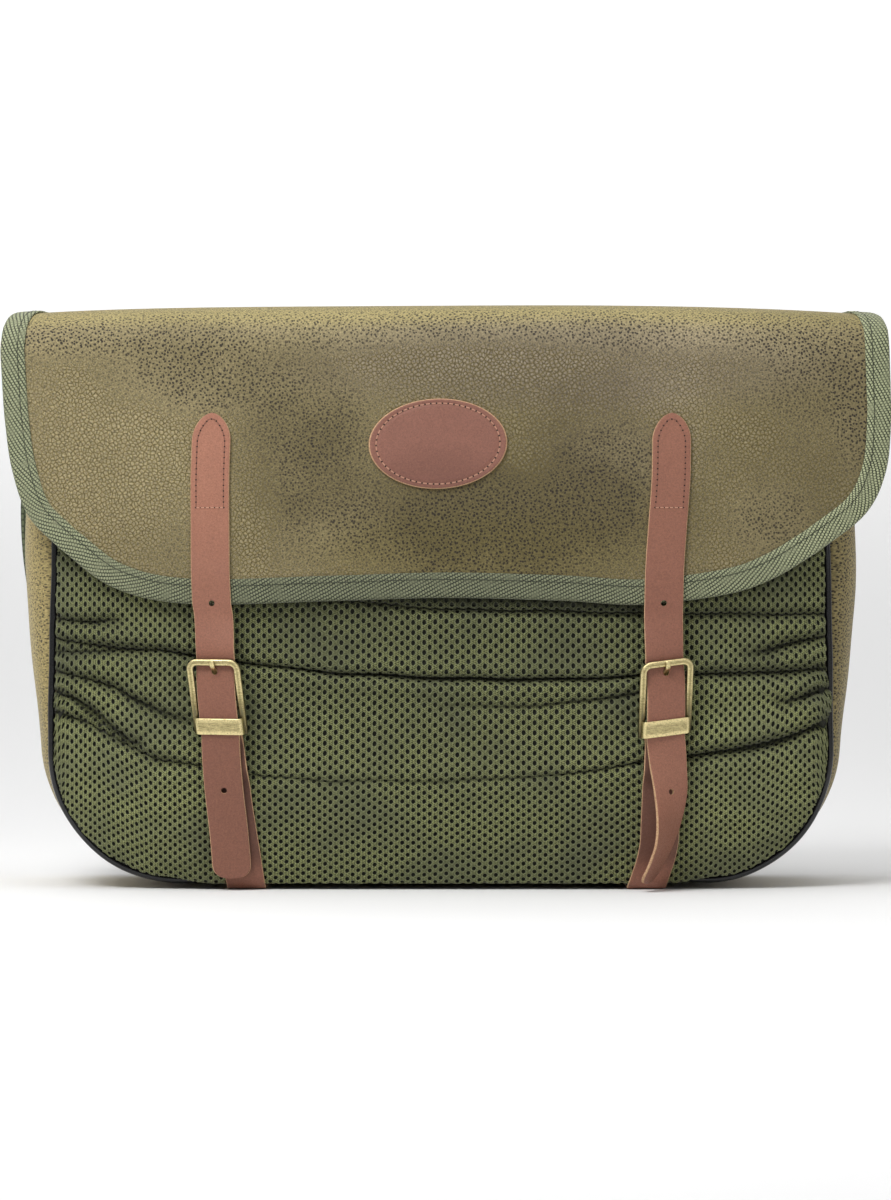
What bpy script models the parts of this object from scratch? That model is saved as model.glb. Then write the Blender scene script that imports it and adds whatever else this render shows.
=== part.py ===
"""Hunting game bag: a satchel with a bound flap, a mesh pocket and two buckled leather straps.

It stands upright on its base, with its front to -Y and the straps' undersides at Z = 0.
Sizes are in millimetres and become metres where a mesh is made.
"""
import math

import bmesh
import bpy
from mathutils import Vector

METRES = 0.001

# Body: seam line of front and back, where the piping runs
BODY_X = -2.2
SEAM_HALF = 202.5
SEAM_TAPER = 3.5
SEAM_CORNER = 66.0
SEAM_Z = 4.6
MOUTH_Z = 289.0
BACK_TOP = 284.0
FRONT_Y = -38.5
BACK_Y = 65.5
PIPING_R = 2.0
PANEL_INSET = 2.7
PANEL_THICK = 1.8
GUSSET_THICK = 1.8
GUSSET_GAP = 2.8
GUSSET_SWELL = 18.0
GUSSET_FLAT_Z = 10.0
GUSSET_FULL_Z = 190.0
GUSSET_RISE = 1.3
GUSSET_SHARES = (0.0, 0.12, 0.3, 0.5, 0.7, 0.88, 1.0)
BASE_SAG = 1.5
CORNER_STEPS = 8

# Swell of the front: round the seam, and in the middle
FRONT_SWELL = 12.0
FRONT_CROWN = 5.0
TOP_FLATTEN = 0.35
PANEL_FRONT_Y = 1.7
PANEL_SHARE = 0.4
BACK_SWELL = 4.0

# Mesh pocket on the front
POCKET_TOP = 235.0
POCKET_THICK = 2.2
POCKET_FRONT_Y = -0.7
LIP_DROP = 12.3
LIP_REACH = 13.0
LIP_FULL_X = 118.0
LIP_END_X = 165.0
RIDGE = 2.0
PRESSED = 0.6

# Creases of the gathered mesh: depth, width, then the points (x, z) that each runs through
CREASES = (
    {"depth": 3.4, "width": 4.0,
     "points": ((-203, 130), (-168, 126), (-129, 121), (-59, 113), (3, 110), (59, 110), (101, 112),
                (199, 115))},
    {"depth": 3.0, "width": 4.0,
     "points": ((-203, 94), (-191, 89), (-163, 72), (-126, 64), (-59, 57), (3, 57), (59, 59), (101, 66),
                (163, 75), (199, 86))},
    {"depth": 1.2, "width": 4.0, "points": ((3, 96), (49, 96), (101, 103))},
    {"depth": 2.4, "width": 3.2, "points": ((-203, 141), (-178, 138))},
    {"depth": 2.2, "width": 4.0, "points": ((-203, 115), (-181, 107), (-132, 88))},
    {"depth": 3.2, "width": 4.0, "points": ((-203, 103), (-178, 92), (-165, 80))},
    {"depth": 2.2, "width": 3.4, "points": ((126, 143), (199, 143))},
    {"depth": 2.2, "width": 3.4, "points": ((175, 129), (199, 131))},
    {"depth": 1.8, "width": 3.4, "points": ((183, 99), (199, 103))},
)

# Flap: sewn to the back, over the mouth and down the front
FLAP_THICK = 1.8
FLAP_TOP = 302.2
FLAP_FOLD_Z = 279.0
FLAP_FOLD_R = 22.0
FLAP_BACK_R = 14.0
FLAP_BACK_Y = 3.5
FLAP_BACK_LOW = 263.0
FLAP_TOP_RUN = 78.0
FLAP_FRONT_ARC = FLAP_FOLD_R * math.pi / 2
FLAP_BACK_ARC = FLAP_BACK_R * math.pi / 2
FLAP_BACK_RUN = FLAP_TOP - FLAP_BACK_R - FLAP_BACK_LOW
FLAP_EDGE_OUT = 6.0
FLAP_CROWN = 17.6
FLAP_CROWN_HALF = 233.0
FLAP_END_DROP = 5.0
FLAP_END_BEND = 3.2

# Front edge of the flap, (x, z), outside of its binding
FLAP_LEFT = ((-230.6, 279), (-229.3, 258), (-228, 242), (-224.2, 217), (-215.5, 193), (-199, 176))
FLAP_BASE = ((-199, 176), (-171, 156), (-132, 147.6), (-60, 149), (0, 150.7), (60, 149.2),
             (102, 147.2), (146, 152.7), (170, 161), (192, 174))
FLAP_RIGHT = ((230.4, 279), (231, 258), (231.2, 242), (228.4, 216), (217.5, 194), (192, 174))
FLAP_INSET = 1.2

# Side edges of the flap behind its front fold: way back, left x, right x
FLAP_BACK_EDGE = (
    (FLAP_FRONT_ARC + FLAP_TOP_RUN + FLAP_BACK_ARC + FLAP_BACK_RUN, BODY_X - 195.0, BODY_X + 195.0),
    (FLAP_FRONT_ARC + FLAP_TOP_RUN + FLAP_BACK_ARC, BODY_X - 195.0, BODY_X + 195.0),
    (FLAP_FRONT_ARC + FLAP_TOP_RUN, -212.0, 212.0),
    (FLAP_FRONT_ARC, -223.0, 223.0),
    (0.7 * FLAP_FRONT_ARC, -227.4, 227.6),
    (0.4 * FLAP_FRONT_ARC, -229.6, 229.8),
    (0.0, -230.6, 230.4),
)

# Webbing folded over the flap's edge
BINDING_WIDE = 13.0
BINDING_THICK = 0.8
BINDING_CLEAR = 0.4

# Oval leather label
LABEL_X = -3.6
LABEL_Z = 230.0
LABEL_WIDE = 71.5
LABEL_HIGH = 46.6
LABEL_TURN = math.radians(2.0)
LABEL_THICK = 1.5

# Leather straps
STRAP_WIDE = 20.0
STRAP_THICK = 1.6
CLEAR = 0.4
HOLE_R = 1.6
PRONG_HOLE_LONG = 2.5

# Middle lines of both straps: height, left strap's x, right strap's x
STRAP_LINE = ((246, -120.0, 117.2), (212, -121.0, 116.8), (166, -120.4, 113.6), (148, -119.6, 113.4),
              (130, -118.6, 113.2), (81, -114.5, 113.8), (42, -109.0, 111.8), (20, -105.5, 110.4),
              (0, -102.7, 104.0))
# Heights that a billet passes on the flap
BILLET_Z = (246, 236, 212, 189, 172, 163, 155, 148, 140)
# Way of a billet over the buckle's top bar and under its keeper: height in the buckle, distance out of it
BILLET_BUCKLED = ((44, -2.7), (37.3, -2.65), (31, -1.6), (22, 0.4), (12, 2.3), (5.2, 2.9), (0.2, 2.8))
BILLET_STATIONS = 44
TIP_HALF = 0.6
# Free tails: height, x, twist in degrees, distance in front of the mesh
TAIL_LINE = {
    "left": ((73, -115.2, -7.0, 9.0), (62, -114.6, -4.0, 7.8), (48, -113.4, 0.0, 6.4),
             (34, -111.8, 4.0, 5.8), (18, -110.4, 7.0, 6.0), (6, -109.8, 8.0, 6.0)),
    "right": ((74, 113.9, 6.0, 9.4), (64, 114.8, 16.0, 9.0), (51, 116.0, 30.0, 9.8),
              (38, 115.4, 47.0, 12.0), (25, 113.0, 60.0, 13.4), (13, 108.2, 66.0, 13.6),
              (4, 103.2, 68.0, 13.0)),
}
PUNCHED_Z = (148.0, 52.0)
PUNCH_SIDES = 10
# Way of the buckle strap round the pocket's lower edge: distance forward of the seam, height
STRAP_WRAP = ((14.9, 15.0), (13.6, 9.5), (12.4, 5.2), (10.8, 2.6), (8.6, 1.1), (5.0, 0.8))
STRAP_END_Y = 58.0
FACE_LOW = 12.0

# Buckles: one casting with a heel bar and a keeper, and its prong
FRAME_WIDE = 28.0
FRAME_HIGH = 39.0
FRAME_BAR = 3.4
FRAME_DEEP = 2.8
FRAME_CORNER = 5.5
HEEL_H = 3.2
HEEL_D = -1.6
HEEL_R = 1.2
LOOP_R = 2.4
RETURN_Z = (62.0, 70.0, 76.0)
KEEPER_WIDE = 25.2
KEEPER_HIGH = 9.0
KEEPER_OUT = 4.4
KEEPER_BACK = -0.6
KEEPER_LOW = 0.1
KEEPER_BEND = 1.4
KEEPER_THICK = 1.0
# Section of the frame's bar, as shares of its half-width and half-depth
BAR_SECTION = ((1, 0.45), (0.5, 1), (-0.5, 1), (-1, 0.45), (-1, -0.45), (-0.5, -1), (0.5, -1), (1, -0.45))
PRONG_WIDE = 2.6
PRONG_THICK = 1.3
EYE_R = 1.95
# Way of the prong from its eye to its tip on the top bar: height in the buckle, distance out of it
PRONG_WAY = ((12.0, -2.6), (26.0, -3.6), (29.2, -2.7), (31.4, -0.3), (33.4, 1.9), (35.6, 2.9), (37.6, 2.75),
             (38.8, 2.2))
SLOT_WIDE = 3.8
SLOT_HEIGHTS = (0.2, 8.2)
SLOT_OUTS = (-6.6, 3.4)
PRONG_HOLE_H = 30.6
PRONG_HOLE_OUT = -1.6
BUCKLES = {
    "left": {"x": -115.4, "z": 81.0, "across": (0.985, -0.15, -0.01), "up": (-0.115, -0.15, 0.98)},
    "right": {"x": 113.8, "z": 81.0, "across": (0.98, 0.15, 0.12), "up": (0.03, -0.15, 0.985)},
}

# Shoulder strap of webbing, folded down behind the back
SHOULDER_WIDE = 38.0
SHOULDER_THICK = 2.0
SHOULDER_LOW = 36.0
SHOULDER_LEFT = ((-198, 262), (-208.5, 232), (-212.3, 205), (-210.8, 170), (-204, 130), (-197, 90),
                 (-194, 62))
SHOULDER_RIGHT = ((197, 262), (195, 205), (193, 130), (191, 62))

COLOURS = {
    "flap_fabric": ((0.22, 0.18, 0.10, 1.0), 0.75, 0.0),
    "gusset_fabric": ((0.30, 0.24, 0.12, 1.0), 0.80, 0.0),
    "mesh_fabric": ((0.09, 0.10, 0.045, 1.0), 0.85, 0.0),
    "webbing": ((0.15, 0.18, 0.10, 1.0), 0.70, 0.0),
    "leather": ((0.31, 0.13, 0.09, 1.0), 0.50, 0.0),
    "brass": ((0.50, 0.42, 0.20, 1.0), 0.35, 1.0),
    "piping": ((0.02, 0.02, 0.022, 1.0), 0.30, 0.0),
}


def clear_scene():
    for obj in list(bpy.data.objects):
        bpy.data.objects.remove(obj, do_unlink=True)


def material(name):
    """Principled material of one of the bag's stuffs."""
    if name in bpy.data.materials:
        return bpy.data.materials[name]
    colour, roughness, metallic = COLOURS[name]
    made = bpy.data.materials.new(name)
    made.use_nodes = True
    shader = made.node_tree.nodes["Principled BSDF"]
    shader.inputs["Base Color"].default_value = colour
    shader.inputs["Roughness"].default_value = roughness
    shader.inputs["Metallic"].default_value = metallic
    return made


def add_object(name, bm, stuff):
    """Turn a bmesh in millimetres into an object in metres."""
    bmesh.ops.scale(bm, vec=(METRES, METRES, METRES), verts=bm.verts)
    mesh = bpy.data.meshes.new(name)
    bm.to_mesh(mesh)
    bm.free()
    mesh.materials.append(material(stuff))
    mesh.shade_smooth()
    mesh.set_sharp_from_angle(angle=math.radians(40.0))
    obj = bpy.data.objects.new(name, mesh)
    bpy.context.scene.collection.objects.link(obj)
    return obj


def smoothstep(value):
    value = min(max(value, 0.0), 1.0)
    return value * value * (3.0 - 2.0 * value)


def along(points, fraction):
    """Point at a fraction of a polyline's length."""
    lengths = [(b - a).length for a, b in zip(points, points[1:])]
    left = fraction * sum(lengths)
    for (a, b), length in zip(zip(points, points[1:]), lengths):
        if left <= length:
            return a.lerp(b, left / length)
        left -= length
    return points[-1].copy()


def smooth_line(points, per_span):
    """Catmull-Rom curve through the points."""
    points = [Vector(p) for p in points]
    guides = [2 * points[0] - points[1]] + points + [2 * points[-1] - points[-2]]
    curve = []
    for before, a, b, after in zip(guides, guides[1:], guides[2:], guides[3:]):
        for k in range(per_span):
            t = k / per_span
            curve.append(0.5 * (2 * a + (b - before) * t + (2 * before - 5 * a + 4 * b - after) * t ** 2
                                + (3 * a - before - 3 * b + after) * t ** 3))
    return curve + [points[-1]]


def row_value(rows, height, column):
    """Value of a table's column at a height, for rows that go down."""
    if height >= rows[0][0]:
        return rows[0][column]
    for upper, lower in zip(rows, rows[1:]):
        if height >= lower[0]:
            share = (upper[0] - height) / (upper[0] - lower[0])
            return upper[column] + (lower[column] - upper[column]) * share
    return rows[-1][column]


def spaced(stops, counts):
    """Fractions from the first stop to the last, with a count of steps in each span."""
    values = [stops[0]]
    for start, stop, count in zip(stops, stops[1:], counts):
        values += [start + (stop - start) * (k + 1) / count for k in range(count)]
    return values


def coons(left, base, right, u, v):
    """Point of the patch between two side lines that run down and the base line that joins them."""
    top = left[0].lerp(right[0], u)
    low = along(base, u)
    west = along(left, v)
    east = along(right, v)
    corners = (left[0] * (1 - u) + right[0] * u) * (1 - v) + (base[0] * (1 - u) + base[-1] * u) * v
    return top * (1 - v) + low * v + west * (1 - u) + east * u - corners


def sheet(name, rows, thickness, stuff):
    """Cloth or leather of even thickness on both sides of a grid of points."""
    bm = bmesh.new()
    grid = [[bm.verts.new(point) for point in row] for row in rows]
    for upper, lower in zip(grid, grid[1:]):
        for a, b, c, d in zip(upper, lower, lower[1:], upper[1:]):
            bm.faces.new((a, b, c, d))
    obj = add_object(name, bm, stuff)
    solidify = obj.modifiers.new("thickness", "SOLIDIFY")
    solidify.thickness = thickness * METRES
    solidify.offset = 0.0
    return obj


def loft(name, sections, stuff):
    """Closed solid through sections that have the same number of points."""
    bm = bmesh.new()
    rings = [[bm.verts.new(point) for point in section] for section in sections]
    for ring, after in zip(rings, rings[1:]):
        for k in range(len(ring)):
            bm.faces.new((ring[k - 1], ring[k], after[k], after[k - 1]))
    bm.faces.new(rings[0][::-1])
    bm.faces.new(rings[-1])
    bmesh.ops.recalc_face_normals(bm, faces=bm.faces)
    return add_object(name, bm, stuff)


def ribbon(name, stations, thickness, stuff):
    """Flat strap through stations of (middle, direction across, half-width)."""
    sections = []
    for k, (middle, across, half) in enumerate(stations):
        before = stations[max(k - 1, 0)][0]
        after = stations[min(k + 1, len(stations) - 1)][0]
        normal = across.cross(after - before).normalized() * (thickness / 2)
        side = across.normalized() * half
        sections.append((middle - side + normal, middle + side + normal,
                         middle + side - normal, middle - side - normal))
    return loft(name, sections, stuff)


def cut(obj, cutter):
    """Cut a hidden solid out of an object."""
    cutter.hide_render = True
    cutter.display_type = "WIRE"
    hole = obj.modifiers.new("cut", "BOOLEAN")
    hole.operation = "DIFFERENCE"
    hole.object = cutter


def fuse(obj, other):
    """Join a hidden solid to an object."""
    other.hide_render = True
    other.display_type = "WIRE"
    joined = obj.modifiers.new("fuse", "BOOLEAN")
    joined.operation = "UNION"
    joined.object = other


# Seam line and swell of the body
def seam_half(z, inset):
    """Half-width of the seam line at a height."""
    lean = max(z - (SEAM_Z + SEAM_CORNER), 0.0) / (MOUTH_Z - SEAM_Z - SEAM_CORNER)
    return SEAM_HALF - inset - SEAM_TAPER * lean


def seam_runs(inset, top):
    """Left side, base and right side of the seam line; they meet half-way round the corners."""
    radius = SEAM_CORNER - inset

    def corner(side, start, stop):
        middle = Vector((BODY_X + side * (SEAM_HALF - SEAM_CORNER), SEAM_Z + SEAM_CORNER))
        points = []
        for k in range(CORNER_STEPS // 2 + 1):
            angle = math.radians(start + (stop - start) * k / (CORNER_STEPS // 2))
            points.append(middle + radius * Vector((side * math.cos(angle), -math.sin(angle))))
        return points

    left = [Vector((BODY_X - seam_half(top, inset), top))] + corner(-1, 0, 45)
    right = [Vector((BODY_X + seam_half(top, inset), top))] + corner(1, 0, 45)
    base = corner(-1, 45, 90) + corner(1, 90, 45)
    return left, base, right


def seam_path(top):
    """Whole seam line, down the left side, along the base and up the right side."""
    side = [Vector((seam_half(z, 0.0), z)) for z in spaced((top, SEAM_Z + SEAM_CORNER), (7,))]
    for k in range(1, CORNER_STEPS + 1):
        angle = math.radians(90 * k / CORNER_STEPS)
        side.append(Vector((SEAM_HALF - SEAM_CORNER * (1 - math.cos(angle)),
                            SEAM_Z + SEAM_CORNER * (1 - math.sin(angle)))))
    side += [Vector((x, SEAM_Z)) for x in (90.0, 45.0)]
    left = [Vector((BODY_X - p.x, p.y)) for p in side]
    right = [Vector((BODY_X + p.x, p.y)) for p in side[::-1]]
    return left + [Vector((BODY_X, SEAM_Z))] + right


def seam_distance(x, z):
    """How far a point of the front lies inside the seam line."""
    side = seam_half(z, 0.0) - abs(x - BODY_X)
    low = z - SEAM_Z
    if side < SEAM_CORNER and low < SEAM_CORNER:
        return SEAM_CORNER - math.hypot(SEAM_CORNER - side, SEAM_CORNER - low)
    return min(side, low)


def swell(x, z):
    """How far the front stands forward of its seam."""
    share = min(max(seam_distance(x, z) / SEAM_CORNER, 0.0), 1.0)
    rounded = math.sqrt(1 - (1 - share) ** 2)
    across = min(abs(x - BODY_X) / SEAM_HALF, 1.0)
    crown = FRONT_CROWN * (1 - across ** 2) * rounded
    flatten = 1 - TOP_FLATTEN * smoothstep((z - 150.0) / 120.0)
    return (FRONT_SWELL * rounded + crown) * flatten


def front_out(x, z):
    """Y of the front panel's middle."""
    return FRONT_Y + PANEL_FRONT_Y - PANEL_SHARE * swell(x, z)


def back_out(x, z):
    """Y of the back panel's middle."""
    return BACK_Y + BACK_SWELL * swell(x, z) / (FRONT_SWELL + FRONT_CROWN)


# Gathered mesh
def crease_relief(x, z):
    """Ridges and creases of the gathered mesh, forward positive."""
    relief = 0.0
    for crease in CREASES:
        points = crease["points"]
        inside = smoothstep((x - points[0][0] + 14) / 14) * smoothstep((points[-1][0] + 14 - x) / 14)
        if inside == 0.0:
            continue
        reach = min(max(x, points[0][0]), points[-1][0])
        line = points[-1][1]
        for (x0, z0), (x1, z1) in zip(points, points[1:]):
            if reach <= x1:
                line = z0 + (z1 - z0) * smoothstep((reach - x0) / (x1 - x0))
                break
        off = (z - line) / crease["width"]
        depth = crease["depth"] * inside
        relief -= depth * math.exp(-(off * 0.9) ** 2)
        relief += 0.55 * depth * math.exp(-(off - 2.2) ** 2 / 2.0)
        relief += 0.30 * depth * math.exp(-(off + 2.2) ** 2 / 2.0)
    strap = min(abs(x - row_value(STRAP_LINE, z, 1)), abs(x - row_value(STRAP_LINE, z, 2)))
    ridge = PRESSED + (RIDGE - PRESSED) * smoothstep((strap - 11.0) / 10.0)
    return min(relief, ridge)


def lip_drop(x, z):
    """How far the pocket's lower edge hangs over the seam below it."""
    off = abs(x - BODY_X)
    share = 1 - smoothstep((off - LIP_FULL_X) / (LIP_END_X - LIP_FULL_X))
    down = max(z - SEAM_Z - PANEL_INSET, 0.0) / LIP_REACH
    return LIP_DROP * share * down * math.exp(1 - down)


def pocket_point(x, z):
    """Middle of the mesh where it would lie at (x, z) without hanging over."""
    low = z - lip_drop(x, z)
    firm = smoothstep(seam_distance(x, z) / 12.0)
    relief = crease_relief(x, low) * firm
    return Vector((x, FRONT_Y + POCKET_FRONT_Y - swell(x, z) - relief, low))


def pocket_face(x, z):
    """Y of the mesh's outer face, creases left out, at the height that it really has."""
    z = max(z, FACE_LOW)
    plain = z
    for _ in range(12):
        plain = z + lip_drop(x, plain)
    return FRONT_Y + POCKET_FRONT_Y - swell(x, plain) - POCKET_THICK / 2


# Flap
def flap_out(x, z):
    """Y of the flap's middle where it hangs down the front."""
    shape = max(1 - abs(x / FLAP_CROWN_HALF) ** 4, 0.0) ** 0.8
    flatten = 1 - 0.3 * smoothstep((z - 190.0) / 95.0)
    wave = 0.5 * math.sin(x / 31.0 + 0.6) * math.sin(z / 38.0)
    return FRONT_Y - FLAP_EDGE_OUT - FLAP_CROWN * shape * flatten - wave


def flap_top(x):
    return FLAP_TOP - FLAP_END_DROP * abs(x / FLAP_CROWN_HALF) ** FLAP_END_BEND + 0.3 * math.sin(x / 60.0)


def flap_point(x, drop):
    """Middle of the flap; drop is measured along it from the end of its front fold, down positive."""
    radius = flap_top(x) - FLAP_FOLD_Z
    front = flap_out(x, FLAP_FOLD_Z)
    if drop >= 0:
        z = FLAP_FOLD_Z - drop
        return Vector((x, flap_out(x, z), z))
    turn = -drop / FLAP_FOLD_R
    if turn <= math.pi / 2:
        return Vector((x, front + radius * (1 - math.cos(turn)), FLAP_FOLD_Z + radius * math.sin(turn)))
    back = back_out(x, FLAP_BACK_LOW) + FLAP_BACK_Y
    share = (-drop - FLAP_FOLD_R * math.pi / 2) / FLAP_TOP_RUN
    if share <= 1:
        y = front + radius + (back - FLAP_BACK_R - front - radius) * share
        return Vector((x, y, flap_top(x)))
    turn = (-drop - FLAP_FOLD_R * math.pi / 2 - FLAP_TOP_RUN) / FLAP_BACK_R
    if turn <= math.pi / 2:
        return Vector((x, back - FLAP_BACK_R * (1 - math.sin(turn)),
                       flap_top(x) - FLAP_BACK_R * (1 - math.cos(turn))))
    start = flap_top(x) - FLAP_BACK_R
    down = (turn - math.pi / 2) * FLAP_BACK_R / FLAP_BACK_RUN
    return Vector((x, back, start + (FLAP_BACK_LOW - start) * down))


def flap_normal(x, drop):
    """Direction out of the flap's outer face."""
    step = 0.5
    down = flap_point(x, drop + step) - flap_point(x, drop - step)
    across = flap_point(x + step, drop) - flap_point(x - step, drop)
    return across.cross(-down).normalized()


def flap_grid(inset):
    """Flat pattern of the flap as rows of (x, drop), from the back seam to the front edge."""
    edge = smooth_line([(x, FLAP_FOLD_Z - z) for x, z in FLAP_LEFT], 6)
    corner_left = len(edge) - 1
    edge += smooth_line([(x, FLAP_FOLD_Z - z) for x, z in FLAP_BASE], 6)[1:]
    corner_right = len(edge) - 1
    edge += smooth_line([(x, FLAP_FOLD_Z - z) for x, z in FLAP_RIGHT], 6)[-2::-1]
    edge = inset_line(edge, inset)
    left = edge[:corner_left + 1]
    base = edge[corner_left:corner_right + 1]
    right = edge[corner_right:][::-1]
    rows = []
    for back in FLAP_STATIONS:
        start = row_value(FLAP_BACK_EDGE, back, 1) + inset
        stop = row_value(FLAP_BACK_EDGE, back, 2) - inset
        rows.append([Vector((start + (stop - start) * u, -back)) for u in FLAP_COLUMNS])
    for v in FLAP_LEVELS:
        rows.append([coons(left, base, right, u, v) for u in FLAP_COLUMNS])
    return rows


def inset_line(points, distance):
    """Line moved to its left-hand side as seen along it, with Y down."""
    moved = []
    for k, point in enumerate(points):
        run = (points[min(k + 1, len(points) - 1)] - points[max(k - 1, 0)]).normalized()
        moved.append(point + Vector((run.y, -run.x)) * distance)
    return moved


# Steps of the flap's grid: back of its front fold, down its front, and across
FLAP_STATIONS = spaced([row[0] for row in FLAP_BACK_EDGE], (1, 4, 3, 2, 2, 2))[:-1]
FLAP_LEVELS = spaced((0.0, 0.88, 1.0), (6, 1))
FLAP_COLUMNS = spaced((0.0, 0.03, 0.97, 1.0), (1, 15, 1))


def build_body():
    """Back panel, front panel, gusset and the piping in both seams."""
    columns = spaced((0.0, 0.12, 0.88, 1.0), (2, 6, 2))
    levels = spaced((0.0, 0.8, 1.0), (5, 4))
    for name, top, out in (("front_panel", MOUTH_Z, front_out), ("back_panel", BACK_TOP, back_out)):
        left, base, right = seam_runs(PANEL_INSET, top)
        rows = []
        for v in levels:
            flat = [coons(left, base, right, u, v) for u in columns]
            rows.append([(p.x, out(p.x, p.y), p.y) for p in flat])
        sheet(name, rows, PANEL_THICK, "flap_fabric")
    build_gusset(seam_path(MOUTH_Z))
    for name, y, top in (("front_piping", FRONT_Y, MOUTH_Z), ("back_piping", BACK_Y, BACK_TOP)):
        tube(name, [(p.x, y, p.y) for p in seam_path(top)], PIPING_R, "piping")


def build_gusset(seam):
    """Strip of cloth round both sides and the base, swelling out between its seams."""
    rows = []
    for k, point in enumerate(seam):
        before = seam[max(k - 1, 0)]
        after = seam[min(k + 1, len(seam) - 1)]
        run = (after - before).normalized()
        outward = Vector((run.y, -run.x))
        level = min(max((point.y - GUSSET_FLAT_Z) / (GUSSET_FULL_Z - GUSSET_FLAT_Z), 0.0), 1.0)
        rise = math.sin(level * math.pi / 2) ** GUSSET_RISE
        flat = max(-outward.y, 0.0) ** 4
        out = GUSSET_SWELL * rise + BASE_SAG * flat
        row = []
        for share in GUSSET_SHARES:
            y = FRONT_Y + GUSSET_GAP + (BACK_Y - FRONT_Y - 2 * GUSSET_GAP) * share
            bow = out * (1 - (2 * share - 1) ** 4) ** 0.7
            row.append((point.x + outward.x * bow, y, point.y + outward.y * bow))
        rows.append(row)
    sheet("gusset", rows, GUSSET_THICK, "gusset_fabric")


def tube(name, points, radius, stuff):
    """Round cord along points."""
    curve = bpy.data.curves.new(name, "CURVE")
    curve.dimensions = "3D"
    curve.bevel_depth = radius * METRES
    curve.bevel_resolution = 2
    curve.use_fill_caps = True
    spline = curve.splines.new("POLY")
    spline.points.add(len(points) - 1)
    for target, point in zip(spline.points, points):
        target.co = (*(Vector(point) * METRES), 1.0)
    curve.materials.append(material(stuff))
    obj = bpy.data.objects.new(name, curve)
    bpy.context.scene.collection.objects.link(obj)
    return obj


def build_pocket():
    left, base, right = seam_runs(PANEL_INSET, POCKET_TOP)
    columns = spaced((0.0, 0.1, 0.9, 1.0), (3, 20, 3))
    levels = spaced((0.0, 0.36, 0.83, 0.94, 1.0), (3, 19, 4, 5))
    rows = []
    for v in levels:
        flat = [coons(left, base, right, u, v) for u in columns]
        rows.append([pocket_point(p.x, p.y) for p in flat])
    sheet("mesh_pocket", rows, POCKET_THICK, "mesh_fabric")


def build_flap():
    rows = [[flap_point(*spot) for spot in row] for row in flap_grid(FLAP_INSET)]
    sheet("flap", rows, FLAP_THICK, "flap_fabric")


def build_binding():
    """Webbing folded over the flap's free edge, from the back seam round to the back seam."""
    rows = flap_grid(0.0)
    edge = [row[0] for row in rows] + rows[-1][1:-1] + [row[-1] for row in rows[::-1]]
    face = FLAP_THICK / 2 + BINDING_CLEAR
    outer = face + BINDING_THICK
    reaches = ((BINDING_WIDE, outer), (0.0, outer), (0.0, -outer), (BINDING_WIDE, -outer),
               (BINDING_WIDE, -face), (BINDING_THICK, -face), (BINDING_THICK, face), (BINDING_WIDE, face))
    sections = []
    for k, point in enumerate(edge):
        run = edge[min(k + 1, len(edge) - 1)] - edge[max(k - 1, 0)]
        inward = Vector((run.y, -run.x)).normalized()
        if point.y <= 0:
            inward = Vector((-math.copysign(1, point.x), 0))
        section = []
        for reach, off in reaches:
            spot = point + inward * reach
            section.append(flap_point(*spot) + flap_normal(*spot) * off)
        sections.append(section)
    loft("flap_binding", sections, "webbing")


def build_label():
    """Oval leather patch on the flap."""
    rings = (0.0, 0.55, 1.0)
    spokes = 32
    bm = bmesh.new()
    middle = bm.verts.new(label_point(0.0, 0.0))
    circles = []
    for ring in rings[1:]:
        circle = []
        for k in range(spokes):
            angle = 2 * math.pi * k / spokes
            circle.append(bm.verts.new(label_point(ring * math.cos(angle), ring * math.sin(angle))))
        circles.append(circle)
    for k in range(spokes):
        bm.faces.new((middle, circles[0][k - 1], circles[0][k]))
        bm.faces.new((circles[0][k - 1], circles[1][k - 1], circles[1][k], circles[0][k]))
    obj = add_object("label_patch", bm, "leather")
    solidify = obj.modifiers.new("thickness", "SOLIDIFY")
    solidify.thickness = LABEL_THICK * METRES
    solidify.offset = 0.0


def label_point(a, b):
    x = a * LABEL_WIDE / 2
    z = b * LABEL_HIGH / 2
    turned = Vector((x * math.cos(LABEL_TURN) - z * math.sin(LABEL_TURN),
                     x * math.sin(LABEL_TURN) + z * math.cos(LABEL_TURN)))
    drop = FLAP_FOLD_Z - LABEL_Z - turned.y
    x = LABEL_X + turned.x
    return flap_point(x, drop) + flap_normal(x, drop) * (FLAP_THICK / 2 + CLEAR + LABEL_THICK / 2)


# Buckles and leather straps
class Seat:
    """Place of a buckle: local across, height and distance out of its frame's plane."""

    def __init__(self, side):
        place = BUCKLES[side]
        self.across = Vector(place["across"]).normalized()
        self.up = Vector(place["up"]).normalized()
        self.out = self.up.cross(self.across).normalized()
        if self.out.y > 0:
            self.out = -self.out
        turned = abs(self.across.y) * STRAP_WIDE / 2
        gap = PRESSED + CLEAR + turned + LOOP_R + STRAP_THICK / 2 - HEEL_D
        y = pocket_face(place["x"], place["z"]) - gap
        self.origin = Vector((place["x"], y, place["z"]))

    def at(self, across, height, out):
        return self.origin + self.across * across + self.up * height + self.out * out


def resample(stations, count):
    """Even stations along a smooth path through the given ones, with their way to the nearer end."""
    middles = smooth_line([s[0] for s in stations], 6)
    sides = smooth_line([s[1] for s in stations], 6)
    lengths = [0.0]
    for a, b in zip(middles, middles[1:]):
        lengths.append(lengths[-1] + (b - a).length)
    made = []
    for k in range(count):
        want = lengths[-1] * k / (count - 1)
        i = 0
        while i < len(lengths) - 2 and lengths[i + 1] < want:
            i += 1
        share = (want - lengths[i]) / (lengths[i + 1] - lengths[i])
        middle = middles[i].lerp(middles[i + 1], share)
        across = sides[i].lerp(sides[i + 1], share).normalized()
        made.append((middle, across, min(want, lengths[-1] - want)))
    return made


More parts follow.
